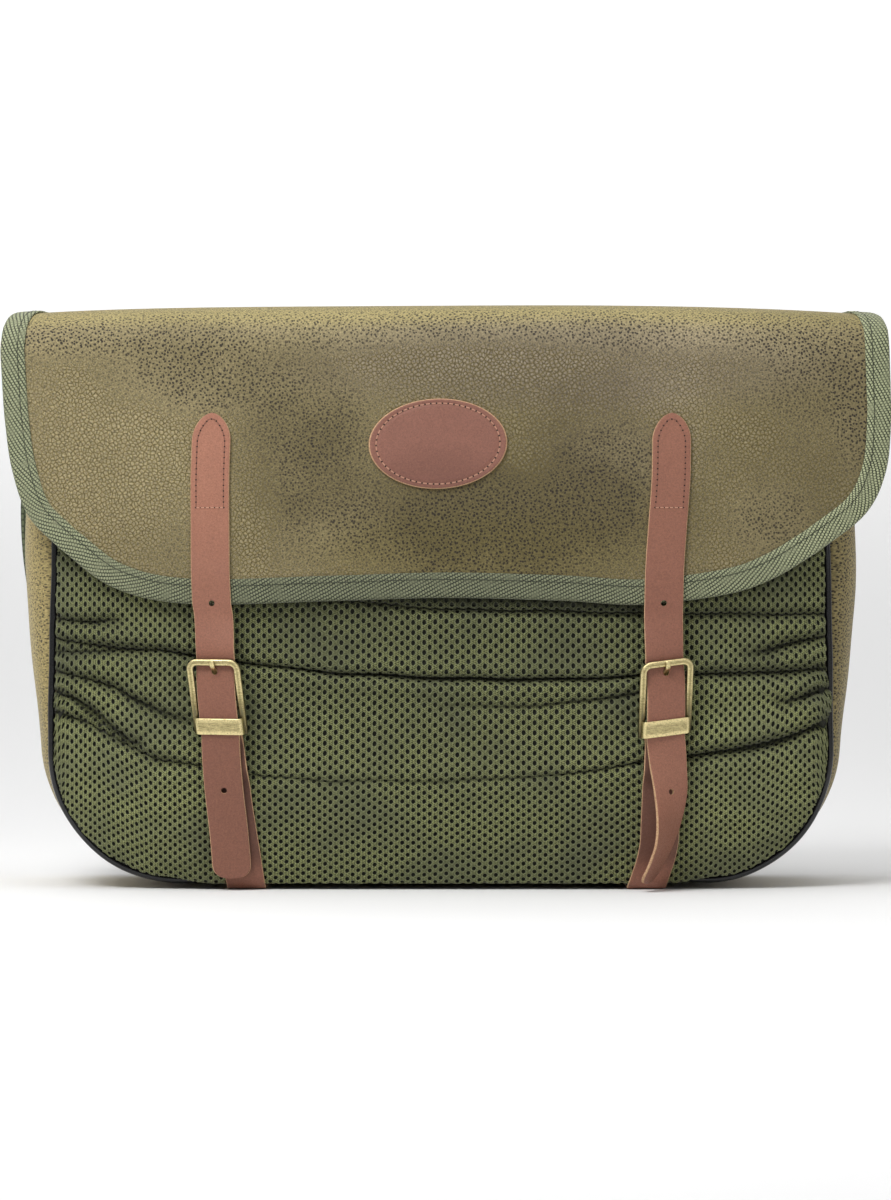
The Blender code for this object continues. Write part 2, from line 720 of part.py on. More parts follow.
def build_billet(side, seat):
    """Strap sewn to the flap, through the buckle, with a free tail."""
    column = 1 if side == "left" else 2
    on_flap = FLAP_THICK / 2 + CLEAR + STRAP_THICK / 2
    on_binding = on_flap + BINDING_CLEAR + BINDING_THICK
    stations = []
    for z in BILLET_Z:
        x = row_value(STRAP_LINE, z, column)
        off = on_flap + (on_binding - on_flap) * smoothstep((176 - z) / 12)
        across = Vector((1.0, (flap_out(x + 8, z) - flap_out(x - 8, z)) / 16, 0.0)).normalized()
        stations.append((Vector((x, flap_out(x, z) - off, z)), across))
    for height, out in BILLET_BUCKLED:
        stations.append((seat.at(0, height, out), seat.across))
    for z, x, twist, off in TAIL_LINE[side]:
        turn = math.radians(twist)
        y = pocket_face(x, z) - off
        stations.append((Vector((x, y, z)), Vector((math.cos(turn), math.sin(turn), 0.0))))
    half = STRAP_WIDE / 2
    made = []
    for middle, across, way in resample(stations, BILLET_STATIONS):
        short = max(half - TIP_HALF - way, 0.0)
        made.append((middle, across, math.sqrt(half ** 2 - short ** 2)))
    strap = ribbon("billet_strap_" + side, made, STRAP_THICK, "leather")
    holes = []
    for z in PUNCHED_Z:
        spot = min(range(len(made)), key=lambda k: abs(made[k][0].z - z))
        up = (made[spot - 1][0] - made[spot + 1][0]).normalized()
        holes.append((made[spot][0], made[spot][1], up, HOLE_R))
    holes.append((seat.at(0, PRONG_HOLE_H, PRONG_HOLE_OUT), seat.across, seat.up, PRONG_HOLE_LONG))
    cut(strap, punches("punches_" + side, holes))


def punches(name, holes):
    """Round or long punches across a strap, as one hidden solid."""
    bm = bmesh.new()
    for middle, across, up, long in holes:
        out = across.cross(up).normalized() * (2 * STRAP_THICK)
        rims = []
        for end in (-1, 1):
            rim = []
            for k in range(PUNCH_SIDES):
                angle = 2 * math.pi * k / PUNCH_SIDES
                around = across * (HOLE_R * math.cos(angle)) + up * (long * math.sin(angle))
                rim.append(bm.verts.new(middle + around + out * end))
            rims.append(rim)
        for k in range(PUNCH_SIDES):
            bm.faces.new((rims[0][k - 1], rims[0][k], rims[1][k], rims[1][k - 1]))
        bm.faces.new(rims[0][::-1])
        bm.faces.new(rims[1])
    bmesh.ops.recalc_face_normals(bm, faces=bm.faces)
    return add_object(name, bm, "leather")


def build_buckle_strap(side, seat):
    """Strap that holds the buckle, down the front and under the base."""
    column = 1 if side == "left" else 2
    straight = Vector((1, 0, 0))
    stations = []

    def on_mesh(z, plies, across):
        x = row_value(STRAP_LINE, z, column)
        out = PRESSED + CLEAR + STRAP_THICK / 2 + (plies - 1) * (STRAP_THICK + CLEAR)
        out += abs(across.y) * STRAP_WIDE / 2
        stations.append((Vector((x, pocket_face(x, z) - out, z)), across))

    for z in RETURN_Z:
        on_mesh(z, 1, seat.across)
    for k in range(7):
        angle = math.pi * k / 6
        spot = seat.at(0, HEEL_H + LOOP_R * math.sin(angle), HEEL_D - LOOP_R * math.cos(angle))
        stations.append((spot, seat.across))
    for z in RETURN_Z[::-1]:
        on_mesh(z, 2, seat.across)
    for z in (RETURN_Z[0] - 8, 44, 34, 24):
        on_mesh(z, 1, straight)
    for forward, z in STRAP_WRAP:
        x = row_value(STRAP_LINE, z, column)
        stations.append((Vector((x, FRONT_Y - forward, z)), straight))
    x = row_value(STRAP_LINE, 0, column)
    for y in (FRONT_Y + 4, FRONT_Y + 20, STRAP_END_Y):
        stations.append((Vector((x, y, STRAP_THICK / 2)), straight))
    half = STRAP_WIDE / 2
    strap = ribbon("buckle_strap_" + side, [(m, a, half) for m, a in stations], STRAP_THICK, "leather")
    slot = SLOT_WIDE / 2
    near, far = SLOT_OUTS
    corners = ((-slot, near), (slot, near), (slot, far), (-slot, far))
    sections = [[seat.at(a, height, out) for a, out in corners] for height in SLOT_HEIGHTS]
    cut(strap, loft("slot_" + side, sections, "leather"))


def build_buckle(side, seat):
    """Cast frame with its heel bar and keeper in one piece."""
    half = FRAME_WIDE / 2 - FRAME_BAR / 2
    high = FRAME_HIGH - FRAME_BAR / 2
    radius = FRAME_CORNER - FRAME_BAR / 2
    path = [(-half, 0.0, -1, 0)]
    for sign in (-1, 1):
        for k in range(4):
            angle = math.radians(30 * k if sign < 0 else 90 - 30 * k)
            across = sign * math.cos(angle)
            path.append((sign * (half - radius) + radius * across, high - radius + radius * math.sin(angle),
                         across, math.sin(angle)))
    path.append((half, 0.0, 1, 0))
    profile = [(wide * FRAME_BAR / 2, deep * FRAME_DEEP / 2) for wide, deep in BAR_SECTION]
    sections = []
    for a, height, out_a, out_height in path:
        sections.append([seat.at(a + out_a * off, height + out_height * off, d) for off, d in profile])
    frame = loft("buckle_" + side, sections, "brass")

    ends = []
    for end in (-half, half):
        ring = []
        for k in range(8):
            angle = math.pi * k / 4
            ring.append(seat.at(end, HEEL_H + HEEL_R * math.sin(angle), HEEL_D + HEEL_R * math.cos(angle)))
        ends.append(ring)
    fuse(frame, loft("heel_bar_" + side, ends, "brass"))

    def arch(reach):
        """Half of the keeper's line, from its foot to its middle, moved out by a reach."""
        wide = (KEEPER_WIDE - KEEPER_THICK) / 2 + reach
        top = KEEPER_OUT + reach
        bend = KEEPER_BEND + 0.4 * reach
        return ((wide, KEEPER_BACK), (wide, top - bend), (wide - bend, top))

    outer = arch(KEEPER_THICK / 2)
    inner = arch(-KEEPER_THICK / 2)
    section = [(-a, d) for a, d in outer] + [*outer[::-1]] + [*inner] + [(-a, d) for a, d in inner[::-1]]
    band = []
    for height in (KEEPER_LOW, KEEPER_LOW + KEEPER_HIGH):
        band.append([seat.at(a, height, d) for a, d in section])
    fuse(frame, loft("keeper_" + side, band, "brass"))


def build_prong(side, seat):
    """Prong with an eye round the heel bar; its tip lies on the frame's top bar."""
    path = []
    for k in range(8, -1, -1):
        angle = math.radians(75 - 36 * k)
        path.append((HEEL_H + EYE_R * math.sin(angle), HEEL_D - EYE_R * math.cos(angle)))
    path += PRONG_WAY
    half = PRONG_WIDE / 2
    corners = ((-half, -1), (half, -1), (half, 1), (-half, 1))
    sections = []
    for k, (height, out) in enumerate(path):
        before = Vector(path[max(k - 1, 0)])
        after = Vector(path[min(k + 1, len(path) - 1)])
        run = (after - before).normalized() * (PRONG_THICK / 2)
        sections.append([seat.at(a, height - s * run.y, out + s * run.x) for a, s in corners])
    loft("prong_" + side, sections, "brass")


def build_shoulder_strap():
    """Webbing loop: down the back from one top corner, across below and up to the other."""
    half = SHOULDER_WIDE / 2
    turn_r = (SHOULDER_THICK + CLEAR) / 2
    behind = Vector((0, 1, 0))
    sections = []

    def add(a, b, normal):
        off = normal * (SHOULDER_THICK / 2)
        sections.append((a + off, b + off, b - off, a - off))

    def resting(x, z):
        face = max(back_out(x, z) + PANEL_THICK / 2, BACK_Y + PIPING_R)
        return Vector((x, face + CLEAR + SHOULDER_THICK / 2, z))

    def leg(points, sign):
        for point in points:
            add(resting(point.x - sign * half, point.y), resting(point.x + sign * half, point.y), behind)

    def mitre(x, side):
        upper = resting(x + side * half, SHOULDER_LOW + half)
        lower = resting(x - side * half, SHOULDER_LOW - half)
        out = Vector((side, 0, -1)).normalized()
        for k in range(5):
            angle = math.radians(-90 + 45 * k) * -side
            normal = Vector((0, math.sin(angle), 0)) + out * math.cos(angle)
            shift = (normal + behind) * turn_r
            add(upper + shift, lower + shift, -normal)

    leg(smooth_line(SHOULDER_LEFT, 2), 1)
    mitre(SHOULDER_LEFT[-1][0], -1)
    mitre(SHOULDER_RIGHT[-1][0], 1)
    leg(smooth_line(SHOULDER_RIGHT, 2)[::-1], -1)
    loft("shoulder_strap", sections, "webbing")


def main():
    clear_scene()
    build_body()
    build_pocket()
    build_flap()
    build_binding()
    build_label()
    for side in ("left", "right"):
        seat = Seat(side)
        build_billet(side, seat)
        build_buckle_strap(side, seat)
        build_buckle(side, seat)
        build_prong(side, seat)
    build_shoulder_strap()


main()
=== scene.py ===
"""Looks of the hunting game bag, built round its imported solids.

Lengths are in millimetres and become metres where a mesh is made.
The front faces -Y and the straps' undersides are at Z = 0.
"""
import math

import bmesh
import bpy
import numpy as np
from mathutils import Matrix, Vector


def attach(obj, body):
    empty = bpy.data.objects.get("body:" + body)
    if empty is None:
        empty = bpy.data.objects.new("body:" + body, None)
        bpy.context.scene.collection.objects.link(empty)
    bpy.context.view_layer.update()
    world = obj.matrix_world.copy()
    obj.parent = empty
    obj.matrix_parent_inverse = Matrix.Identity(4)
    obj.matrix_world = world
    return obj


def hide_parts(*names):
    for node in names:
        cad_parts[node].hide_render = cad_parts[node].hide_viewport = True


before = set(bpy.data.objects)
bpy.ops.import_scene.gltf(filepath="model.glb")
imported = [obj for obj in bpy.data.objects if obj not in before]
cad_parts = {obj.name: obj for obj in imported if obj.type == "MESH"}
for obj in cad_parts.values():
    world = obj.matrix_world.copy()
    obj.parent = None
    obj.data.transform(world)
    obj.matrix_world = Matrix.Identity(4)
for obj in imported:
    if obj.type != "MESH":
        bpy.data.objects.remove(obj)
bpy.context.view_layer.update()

METRES = 0.001

# Body: the seam line of front and back, where the piping runs
BODY_X = -2.2
SEAM_HALF = 202.5
SEAM_TAPER = 3.5
SEAM_CORNER = 66.0
SEAM_Z = 4.6
MOUTH_Z = 289.0
BACK_TOP = 284.0
FRONT_Y = -38.5
BACK_Y = 65.5
PIPING_R = 2.0
PANEL_INSET = 1.6
PANEL_THICK = 1.8
GUSSET_THICK = 1.8
GUSSET_GAP = 2.6
GUSSET_SWELL = 18.0
GUSSET_FLAT_Z = 10.0
GUSSET_FULL_Z = 190.0
GUSSET_RISE = 1.3
BASE_SAG = 1.5

# Swell of the front: round the seam, and in the middle
FRONT_SWELL = 12.0
FRONT_CROWN = 5.0
TOP_FLATTEN = 0.35
PANEL_FRONT_Y = 1.7
PANEL_SHARE = 0.4
BACK_SWELL = 4.0

# Mesh pocket: its cloth, and the hem that hangs over the lower seam
POCKET_TOP = 235.0
POCKET_THICK = 2.2
POCKET_FRONT_Y = -0.7
LIP_DROP = 12.3
LIP_REACH = 13.0
LIP_FULL_X = 118.0
LIP_END_X = 165.0
FACE_LOW = 12.0

# Perforations: pitches, hole and depth, and how much denser they lie near the sides and the base
PITCH_ACROSS = 5.7
PITCH_UP = 5.3
HOLE_WIDE = 2.25
HOLE_HIGH = 3.0
RIM_DROP = 0.4
HOLE_DEEP = 1.5
PERFORATED_TOP = 184.0
GATHER_SIDE = 0.16
GATHER_LOW = 0.25
MESH_INSET = 2.1

# Creases of the gathered mesh as points (x, z, depth, height of the gap); the cloth above each hangs over it
CREASES = (
    ((-203, 131, 3.4, 1.3), (-188, 128.5, 3.8, 1.4), (-168, 125.6, 4.4, 1.6), (-147, 125, 4.8, 1.6),
     (-128, 121.6, 5.4, 1.8), (-75, 114.8, 6.0, 1.6), (-54, 113, 6.2, 1.9), (3, 110.6, 6.4, 2.5),
     (59, 110, 6.0, 2.3), (101, 111.5, 5.4, 1.8), (128, 112.6, 5.0, 1.9), (150, 112.8, 5.0, 2.0),
     (170, 114, 4.6, 2.2), (199, 114.6, 4.2, 1.6)),
    ((-203, 93.5, 3.6, 1.3), (-187, 88, 4.2, 1.7), (-178, 82.3, 4.0, 1.5), (-167, 76, 3.6, 1.3),
     (-147, 67.8, 3.4, 1.3), (-127, 64.6, 3.0, 1.2), (-90, 59, 1.8, 1.2), (-59, 57, 1.2, 1.4),
     (3, 57, 1.0, 1.6), (59, 60, 1.6, 1.4), (101, 66.5, 3.6, 1.4), (126, 70.6, 5.2, 2.0),
     (147, 72.8, 5.8, 2.6), (161, 75.8, 6.2, 3.3), (175, 79.6, 6.0, 3.2), (186, 82.8, 5.0, 2.4),
     (199, 87.5, 4.0, 1.5)),
    ((3, 96, 0.5, 2.0), (49, 96, 1.6, 2.2), (101, 103, 1.8, 2.0)),
    ((-203, 141, 3.4, 1.1), (-190, 139.8, 3.8, 1.5), (-181, 139.2, 3.6, 2.0), (-172, 140, 1.6, 2.2)),
    ((-203, 123.5, 3.0, 1.0), (-178, 123, 2.6, 1.0), (-164, 123.6, 1.0, 1.0)),
    ((-203, 114.2, 3.4, 1.2), (-186, 110, 3.6, 1.7), (-170, 105, 3.4, 2.4), (-160, 99.5, 2.8, 3.2),
     (-146, 93.5, 2.0, 3.4), (-130, 88, 1.0, 3.4)),
    ((-203, 103.4, 3.6, 1.4), (-192, 100.2, 4.4, 2.6), (-185, 96.5, 5.0, 4.6), (-178, 90.8, 5.2, 5.0),
     (-170, 83.8, 4.2, 3.6), (-161, 77, 2.4, 2.0)),
    ((-62, 151.5, 1.5, 1.0), (-30, 148, 3.0, 1.3), (0, 145.8, 3.8, 1.6), (51, 145.2, 4.0, 1.8),
     (101, 143.9, 4.0, 1.6), (128, 143.6, 3.8, 1.3), (165, 143, 4.0, 1.4), (199, 143, 3.6, 1.3)),
    ((158, 123, 1.0, 3.0), (168, 125.4, 3.0, 3.4), (178, 128.6, 4.0, 2.8), (199, 132, 3.6, 1.4)),
    ((176, 98.5, 1.6, 2.6), (187, 101, 4.2, 2.6), (199, 104.6, 4.0, 1.6)),
)
# Near the sides the folds are softer: from how far off the middle, and over what width that comes
ASIDE_X = 105.0
ASIDE_RUN = 45.0
# Width in which a crease runs out, what its gap's height is multiplied by, radius of the roll above it
CREASE_END = 10.0
GAP_SHARE = 1.2
ROLL = 2.6
ROLL_ASIDE = 5.0
# Soft waves between the creases, and how far the mesh may stand forward: below, at the top and under a strap
WAVES = 0.25
WAVES_ASIDE = 0.65
RIDGE = 3.0
RIDGE_TOP = 1.2
PRESSED = 0.6
# Shadow that the flap throws on the mesh: x, reach below the flap's edge, darkness
FLAP_SHADOW = ((-215, 2.6, 0.25), (-60, 3.5, 0.5), (-15, 7.5, 0.8), (100, 7.5, 0.85), (126, 4.5, 0.6),
               (230, 3.5, 0.5))
# Fold at the right side that bulges over the piping: height, half its reach, and how far
BULGE_Z = 97.5
BULGE_REACH = 7.5
BULGE_OUT = 3.4

# Flap
FLAP_THICK = 1.8
FLAP_TOP = 302.2
FLAP_FOLD_Z = 279.0
FLAP_FOLD_R = 22.0
FLAP_BACK_R = 14.0
FLAP_BACK_Y = 3.5
FLAP_BACK_LOW = 263.0
FLAP_TOP_RUN = 78.0
FLAP_FRONT_ARC = FLAP_FOLD_R * math.pi / 2
FLAP_BACK_ARC = FLAP_BACK_R * math.pi / 2
FLAP_BACK_RUN = FLAP_TOP - FLAP_BACK_R - FLAP_BACK_LOW
FLAP_EDGE_OUT = 6.0
FLAP_CROWN = 17.6
FLAP_CROWN_HALF = 233.0
FLAP_END_DROP = 5.0
FLAP_END_BEND = 3.2
FLAP_INSET = 1.2
# Front edge of the flap, (x, z), outside of its binding
FLAP_LEFT = ((-230.6, 279), (-229.3, 258), (-228, 242), (-224.2, 217), (-215.5, 193), (-199, 176))
FLAP_BASE = ((-199, 176), (-171, 156), (-132, 147.6), (-60, 149), (0, 150.7), (60, 149.2),
             (102, 147.2), (146, 152.7), (170, 161), (192, 174))
FLAP_RIGHT = ((230.4, 279), (231, 258), (231.2, 242), (228.4, 216), (217.5, 194), (192, 174))
# Side edges of the flap behind its front fold: way back, left x, right x
FLAP_BACK_EDGE = (
    (FLAP_FRONT_ARC + FLAP_TOP_RUN + FLAP_BACK_ARC + FLAP_BACK_RUN, BODY_X - 195.0, BODY_X + 195.0),
    (FLAP_FRONT_ARC + FLAP_TOP_RUN + FLAP_BACK_ARC, BODY_X - 195.0, BODY_X + 195.0),
    (FLAP_FRONT_ARC + FLAP_TOP_RUN, -212.0, 212.0),
    (FLAP_FRONT_ARC, -223.0, 223.0),
    (0.7 * FLAP_FRONT_ARC, -227.4, 227.6),
    (0.4 * FLAP_FRONT_ARC, -229.6, 229.8),
    (0.0, -230.6, 230.4),
)
BINDING_WIDE = 13.0
BINDING_THICK = 0.8
BINDING_CLEAR = 0.4
BINDING_ROUND = 1.7
BINDING_STITCH_IN = 3.5
BINDING_TOP_Z = 176.0
BACK_SEAM_HALF = 178.0
# Stitches, here and below, as pitch, half the thread's thickness, and radius of the needle holes
BINDING_STITCH = (3.4, 0.28, 0.3)
BACK_SEAM_STITCH = (3.6, 0.3, 0.32)

# Oval leather label
LABEL_X = -3.6
LABEL_Z = 230.0
LABEL_WIDE = 71.5
LABEL_HIGH = 46.6
LABEL_TURN = math.radians(2.0)
LABEL_THICK = 1.5
LABEL_DOME = 0.35
LABEL_SEWN = 0.893
LABEL_STITCH = (3.0, 0.34, 0.50)

# Leather straps
STRAP_WIDE = 20.0
STRAP_THICK = 1.6
CLEAR = 0.4
HOLE_R = 1.6
STRAP_LINE = ((246, -120.0, 117.0), (212, -121.0, 116.3), (166, -120.8, 112.9), (148, -120.0, 112.5),
              (130, -117.4, 112.2), (81, -114.2, 113.0), (42, -109.0, 111.4), (20, -105.5, 110.4),
              (0, -102.7, 104.0))
BILLET_Z = (246, 236, 212, 189, 172, 163, 155, 148, 140)
BILLET_BUCKLED = ((44, -2.7, 1.0), (37.3, -2.65, 0.7), (31, -1.6, 0.2), (22, 0.4, 0.0), (12, 2.3, 0.0),
                  (5.2, 2.9, 0.0), (0.2, 2.8, 0.0))
BILLET_ASIDE = {"left": 1.4, "right": -1.2}
# Free tails: height, x, twist in degrees, distance in front of the mesh
TAIL_LINE = {
    "left": ((73, -115.2, -7.0, 9.0), (62, -114.6, -4.0, 7.8), (48, -113.4, 0.0, 6.4),
             (34, -111.8, 4.0, 5.8), (18, -110.4, 7.0, 6.0), (6, -109.8, 8.0, 6.0)),
    "right": ((74, 113.9, 6.0, 9.4), (64, 114.8, 16.0, 9.0), (51, 116.0, 30.0, 9.8),
              (38, 115.4, 47.0, 12.0), (25, 113.0, 60.0, 13.4), (13, 108.2, 66.0, 13.6),
              (4, 103.2, 68.0, 13.0)),
}
PUNCHED_Z = (148.0, 52.0)
PUNCHED_R = 1.55
STRAP_WRAP = ((14.9, 15.0), (13.6, 9.5), (12.4, 5.2), (10.8, 2.6), (8.6, 1.1), (5.0, 0.8))
STRAP_END_Y = 58.0
STRAP_STEP = 2.2
# How long the pointed start and the round end of a billet are, and how full their arches
BILLET_TIPS = (14.0, 8.0)
TIP_POWERS = (1.8, 2.6)
BILLET_SEWN_Z = 199.0
BILLET_STITCH = (2.85, 0.24, 0.44)
BILLET_ROW_STITCH = (2.6, 0.30, 0.34)
# Section of a strap as share of the half-width, way across in millimetres, share of the half-thickness
STRAP_PROFILE = ((-1, 0.0, 0.35), (-1, 0.1, 0.72), (-1, 0.32, 0.92), (-1, 1.4, 1.0), (-0.5, 0, 1.03),
                 (0, 0, 1.04), (0.5, 0, 1.03), (1, -1.4, 1.0), (1, -0.32, 0.92), (1, -0.1, 0.72),
                 (1, 0.0, 0.35), (1, 0.0, -0.6), (1, -0.3, -0.95), (0, 0, -1.0), (-1, 0.3, -0.95),
                 (-1, 0.0, -0.6))
STRAP_RAW_SIDES = (0, 1, 8, 9, 10, 11, 14, 15)

# Buckles
FRAME_WIDE = 28.0
FRAME_HIGH = 39.0
FRAME_BAR = 3.4
FRAME_DEEP = 2.8
FRAME_CORNER = 5.5
HEEL_H = 3.2
HEEL_D = -1.6
HEEL_R = 1.2
LOOP_R = 2.4
RETURN_Z = (62.0, 70.0, 76.0)
KEEPER_WIDE = 25.2
KEEPER_HIGH = 8.5
KEEPER_OUT = 4.4
KEEPER_BACK = -0.6
KEEPER_LOW = 0.1
KEEPER_BEND = 1.6
KEEPER_THICK = 1.0
PRONG_WIDE = 2.6
PRONG_THICK = 1.3
EYE_R = 1.95
PRONG_WAY = ((12.0, -2.6), (27.0, -4.2), (31.0, -3.6), (32.8, -1.7), (34.0, 0.4), (35.3, 2.3), (37.2, 2.8),
             (38.6, 2.4))
PRONG_HOLE_H = 32.4
PRONG_HOLE_OUT = -1.9
PRONG_HOLE_LONG = 1.9
BUCKLES = {
    "left": {"x": -114.9, "z": 81.0, "across": (0.985, -0.15, -0.01), "up": (-0.115, -0.15, 0.98)},
    "right": {"x": 112.9, "z": 80.3, "across": (0.98, 0.15, 0.12), "up": (0.03, -0.15, 0.985)},
}

# Shoulder strap
SHOULDER_WIDE = 38.0
SHOULDER_THICK = 2.0
SHOULDER_LOW = 36.0
SHOULDER_LEFT = ((-198, 262), (-208.5, 232), (-212.3, 205), (-210.8, 170), (-204, 130), (-197, 90),
                 (-194, 62))
SHOULDER_RIGHT = ((197, 262), (195, 205), (193, 130), (191, 62))

# Looks of single places, as soft oval patches: x, way down, reach in x, reach down, strength
FLAP_PITTED = ((0, -11, 700, 17, 0.75), (-195, -2, 44, 14, 0.4), (198, 4, 42, 18, 0.5),
               (-128, 14, 66, 26, 0.85), (-70, 60, 46, 66, 0.75), (25, 94, 100, 38, 1.1),
               (85, 62, 38, 34, 0.9), (214, 28, 18, 52, 0.9), (185, 20, 50, 40, 0.45),
               (168, 88, 30, 26, 0.75), (-172, 58, 50, 60, -0.4), (-96, 82, 16, 40, -0.5),
               (18, 6, 80, 15, -0.7), (160, 42, 22, 14, -0.5))
# Darker patches of the flap: partly its own mottled tone, partly painted light and shade that make the top
# fold lighter and the right side darker
FLAP_TONE_AND_SHADE = ((0, -28, 700, 20, -0.30), (-175, 58, 66, 80, -0.16), (-142, 8, 74, 34, 0.22),
              (-78, 44, 46, 60, 0.30), (34, 62, 120, 72, 0.34), (25, 98, 140, 52, 0.44),
              (200, 60, 96, 110, 0.36), (-74, 56, 46, 44, 0.20), (76, 48, 54, 44, 0.22),
              (170, -6, 90, 16, -0.18), (-160, 108, 40, 26, 0.2), (-92, 94, 30, 30, 0.12),
              (30, 6, 150, 28, 0.18))
# Bluish tint of the flap, in its upper middle a painted sheen
FLAP_COOL = ((0, -26, 700, 18, -0.20), (60, 8, 170, 30, 0.24), (90, 44, 60, 40, 0.10),
             (20, 104, 110, 26, -0.14))
# On the gusset, x is the depth and the way down runs along the strip from its left end
GUSSET_PITTED = ((50, 850, 400, 330, 0.5),)
# Darker along the right side of the gusset, and painted shade in a band next to the front piping
GUSSET_TONE_AND_SHADE = ((50, 850, 400, 330, 0.42), (-38, 470, 15, 2000, 0.30))
# On the binding, x runs along the tape
# Painted shade along the flap's lower edge and painted light down its right side
BINDING_SHADE_AND_LIGHT = ((460, 0, 200, 900, -0.42), (742, 0, 100, 900, 0.26))
# On the mesh and on leather, the second place is the height
# Painted shade under the middle of the flap and painted light low at both sides of the mesh
MESH_SHADE_AND_LIGHT = ((0, 130, 170, 95, -0.22), (-165, 40, 70, 70, 0.24), (168, 40, 70, 80, 0.30))
# Painted shade on the leather in patches, and less of it on the right tail
LEATHER_SHADE_PATCHES = ((115, 190, 60, 95, 0.60), (115, 40, 40, 50, -0.60), (LABEL_X, 208, 40, 26, 0.7))
# Painted light on the top of the left strap and painted shade on its tail
LEATHER_LIGHT_LEVELS = ((-120, 222, 40, 60, 0.15), (-114, 52, 40, 66, -0.12))
PIT_COLOUR = (0.024, 0.018, 0.013)

# Camera: straight at the front, where one pixel of the photograph is PIXEL wide
PIXEL = 0.516
IMAGE_WIDE = 891
IMAGE_HIGH = 1200
MIDDLE_COLUMN = 445.0
GROUND_ROW = 890
FACE_Y = -57.0
CAMERA_BACK = 2200.0
SENSOR = 36.0

# Stage: where the floor starts to rise, radius of the rise, its top and half-width, gap below the bag
STAGE_FLAT = 300.0
STAGE_R = 2600.0
STAGE_TOP = 6000.0
STAGE_HALF = 5000.0
STAGE_CLEAR = 0.3
WORLD_LIGHT = 0.30


# Numbers and lines
def smoothstep(value):
    """0 below 0 and 1 above 1, with a smooth change between."""
    value = np.clip(value, 0.0, 1.0)
    return value * value * (3.0 - 2.0 * value)


def column(rows, height, k):
    """Value of a table's column at a height, for rows that go down."""
    table = np.array(rows, float)[::-1]
    return np.interp(height, table[:, 0], table[:, k])


def smooth_line(points, per_span):
    """Catmull-Rom curve through the points, as an array."""
    p = np.array(points, float)
    p = np.vstack([2 * p[0] - p[1], p, 2 * p[-1] - p[-2]])
    t = (np.arange(per_span) / per_span)[:, None]
    curve = []
    for before, a, b, after in zip(p, p[1:], p[2:], p[3:]):
        curve.append(0.5 * (2 * a + (b - before) * t + (2 * before - 5 * a + 4 * b - after) * t ** 2
                            + (3 * a - before - 3 * b + after) * t ** 3))
    return np.vstack(curve + [p[-2][None]])


def lengths(points):
    """Way along a line up to each of its points."""
    steps = np.linalg.norm(np.diff(points, axis=0), axis=1)
    return np.concatenate([[0.0], np.cumsum(steps)])


def ring_way(points):
    """Way round a closed line, up to each of its points and back to the first."""
    points = np.asarray(points, float)
    return lengths(np.vstack([points, points[:1]]))


def circle(count):
    """Even angles once round."""
    return np.linspace(0, 2 * math.pi, count, endpoint=False)


def at_way(points, way, wanted):
    """Rows of an array at the wanted ways along a line."""
    points = np.asarray(points, float)
    return np.stack([np.interp(wanted, way, points[:, k]) for k in range(points.shape[1])], axis=1)


def even(points, fractions):
    """Points at fractions of a line's length."""
    way = lengths(points)
    return at_way(points, way, np.asarray(fractions) * way[-1])


def unit(vectors):
    return vectors / np.maximum(np.linalg.norm(vectors, axis=-1, keepdims=True), 1e-9)


def runs(points):
    """Direction of a line at each of its points."""
    return unit(np.gradient(np.asarray(points, float), axis=0))


def beside(run):
    """Directions at right angles to those of a flat line."""
    return np.stack([run[:, 1], -run[:, 0]], axis=1)


# Body
def seam_half(z, inset=0.0):
    """Half-width of the seam line at a height."""
    lean = np.maximum(z - (SEAM_Z + SEAM_CORNER), 0.0) / (MOUTH_Z - SEAM_Z - SEAM_CORNER)
    return SEAM_HALF - inset - SEAM_TAPER * lean


def seam_distance(x, z):
    """How far a point of the front lies inside the seam line."""
    side = seam_half(z) - np.abs(x - BODY_X)
    low = z - SEAM_Z
    corner = SEAM_CORNER - np.hypot(SEAM_CORNER - side, SEAM_CORNER - low)
    return np.where((side < SEAM_CORNER) & (low < SEAM_CORNER), corner, np.minimum(side, low))


def seam_low(x, inset):
    """Lowest height of the front at x, inside the seam line by an inset."""
    radius = SEAM_CORNER - inset
    off = np.maximum(np.abs(x - BODY_X) - (SEAM_HALF - SEAM_CORNER), 0.0)
    return SEAM_Z + SEAM_CORNER - np.sqrt(np.maximum(radius ** 2 - off ** 2, 0.0))


def kept_inside(x, z, inset):
    """Nearest point of the front that lies inside the seam line by an inset."""
    half = seam_half(z)
    side, low = half - np.abs(x - BODY_X), z - SEAM_Z
    away, above = SEAM_CORNER - side, SEAM_CORNER - low
    reach = np.maximum(np.hypot(away, above), 1e-6)
    pull = np.minimum((SEAM_CORNER - inset) / reach, 1.0)
    corner = (side < SEAM_CORNER) & (low < SEAM_CORNER)
    side = np.where(corner, SEAM_CORNER - away * pull, np.maximum(side, inset))
    low = np.where(corner, SEAM_CORNER - above * pull, np.maximum(low, inset))
    return BODY_X + np.sign(x - BODY_X) * (half - side), SEAM_Z + low


def seam_line(top, inset, count):
    """Even points (x, z) of the seam line, down the left side, along the base and up the right side."""
    turn = np.linspace(0.0, math.pi / 2, 40)
    radius = SEAM_CORNER - inset
    heights = np.linspace(top, SEAM_Z + SEAM_CORNER, 20)[:-1]
    half = np.concatenate([seam_half(heights, inset), SEAM_HALF - SEAM_CORNER + radius * np.cos(turn)])
    z = np.concatenate([heights, SEAM_Z + SEAM_CORNER - radius * np.sin(turn)])
    left = np.stack([BODY_X - half, z], axis=1)
    right = np.stack([BODY_X + half, z], axis=1)[::-1]
    return even(np.vstack([left, right]), np.linspace(0.0, 1.0, count))


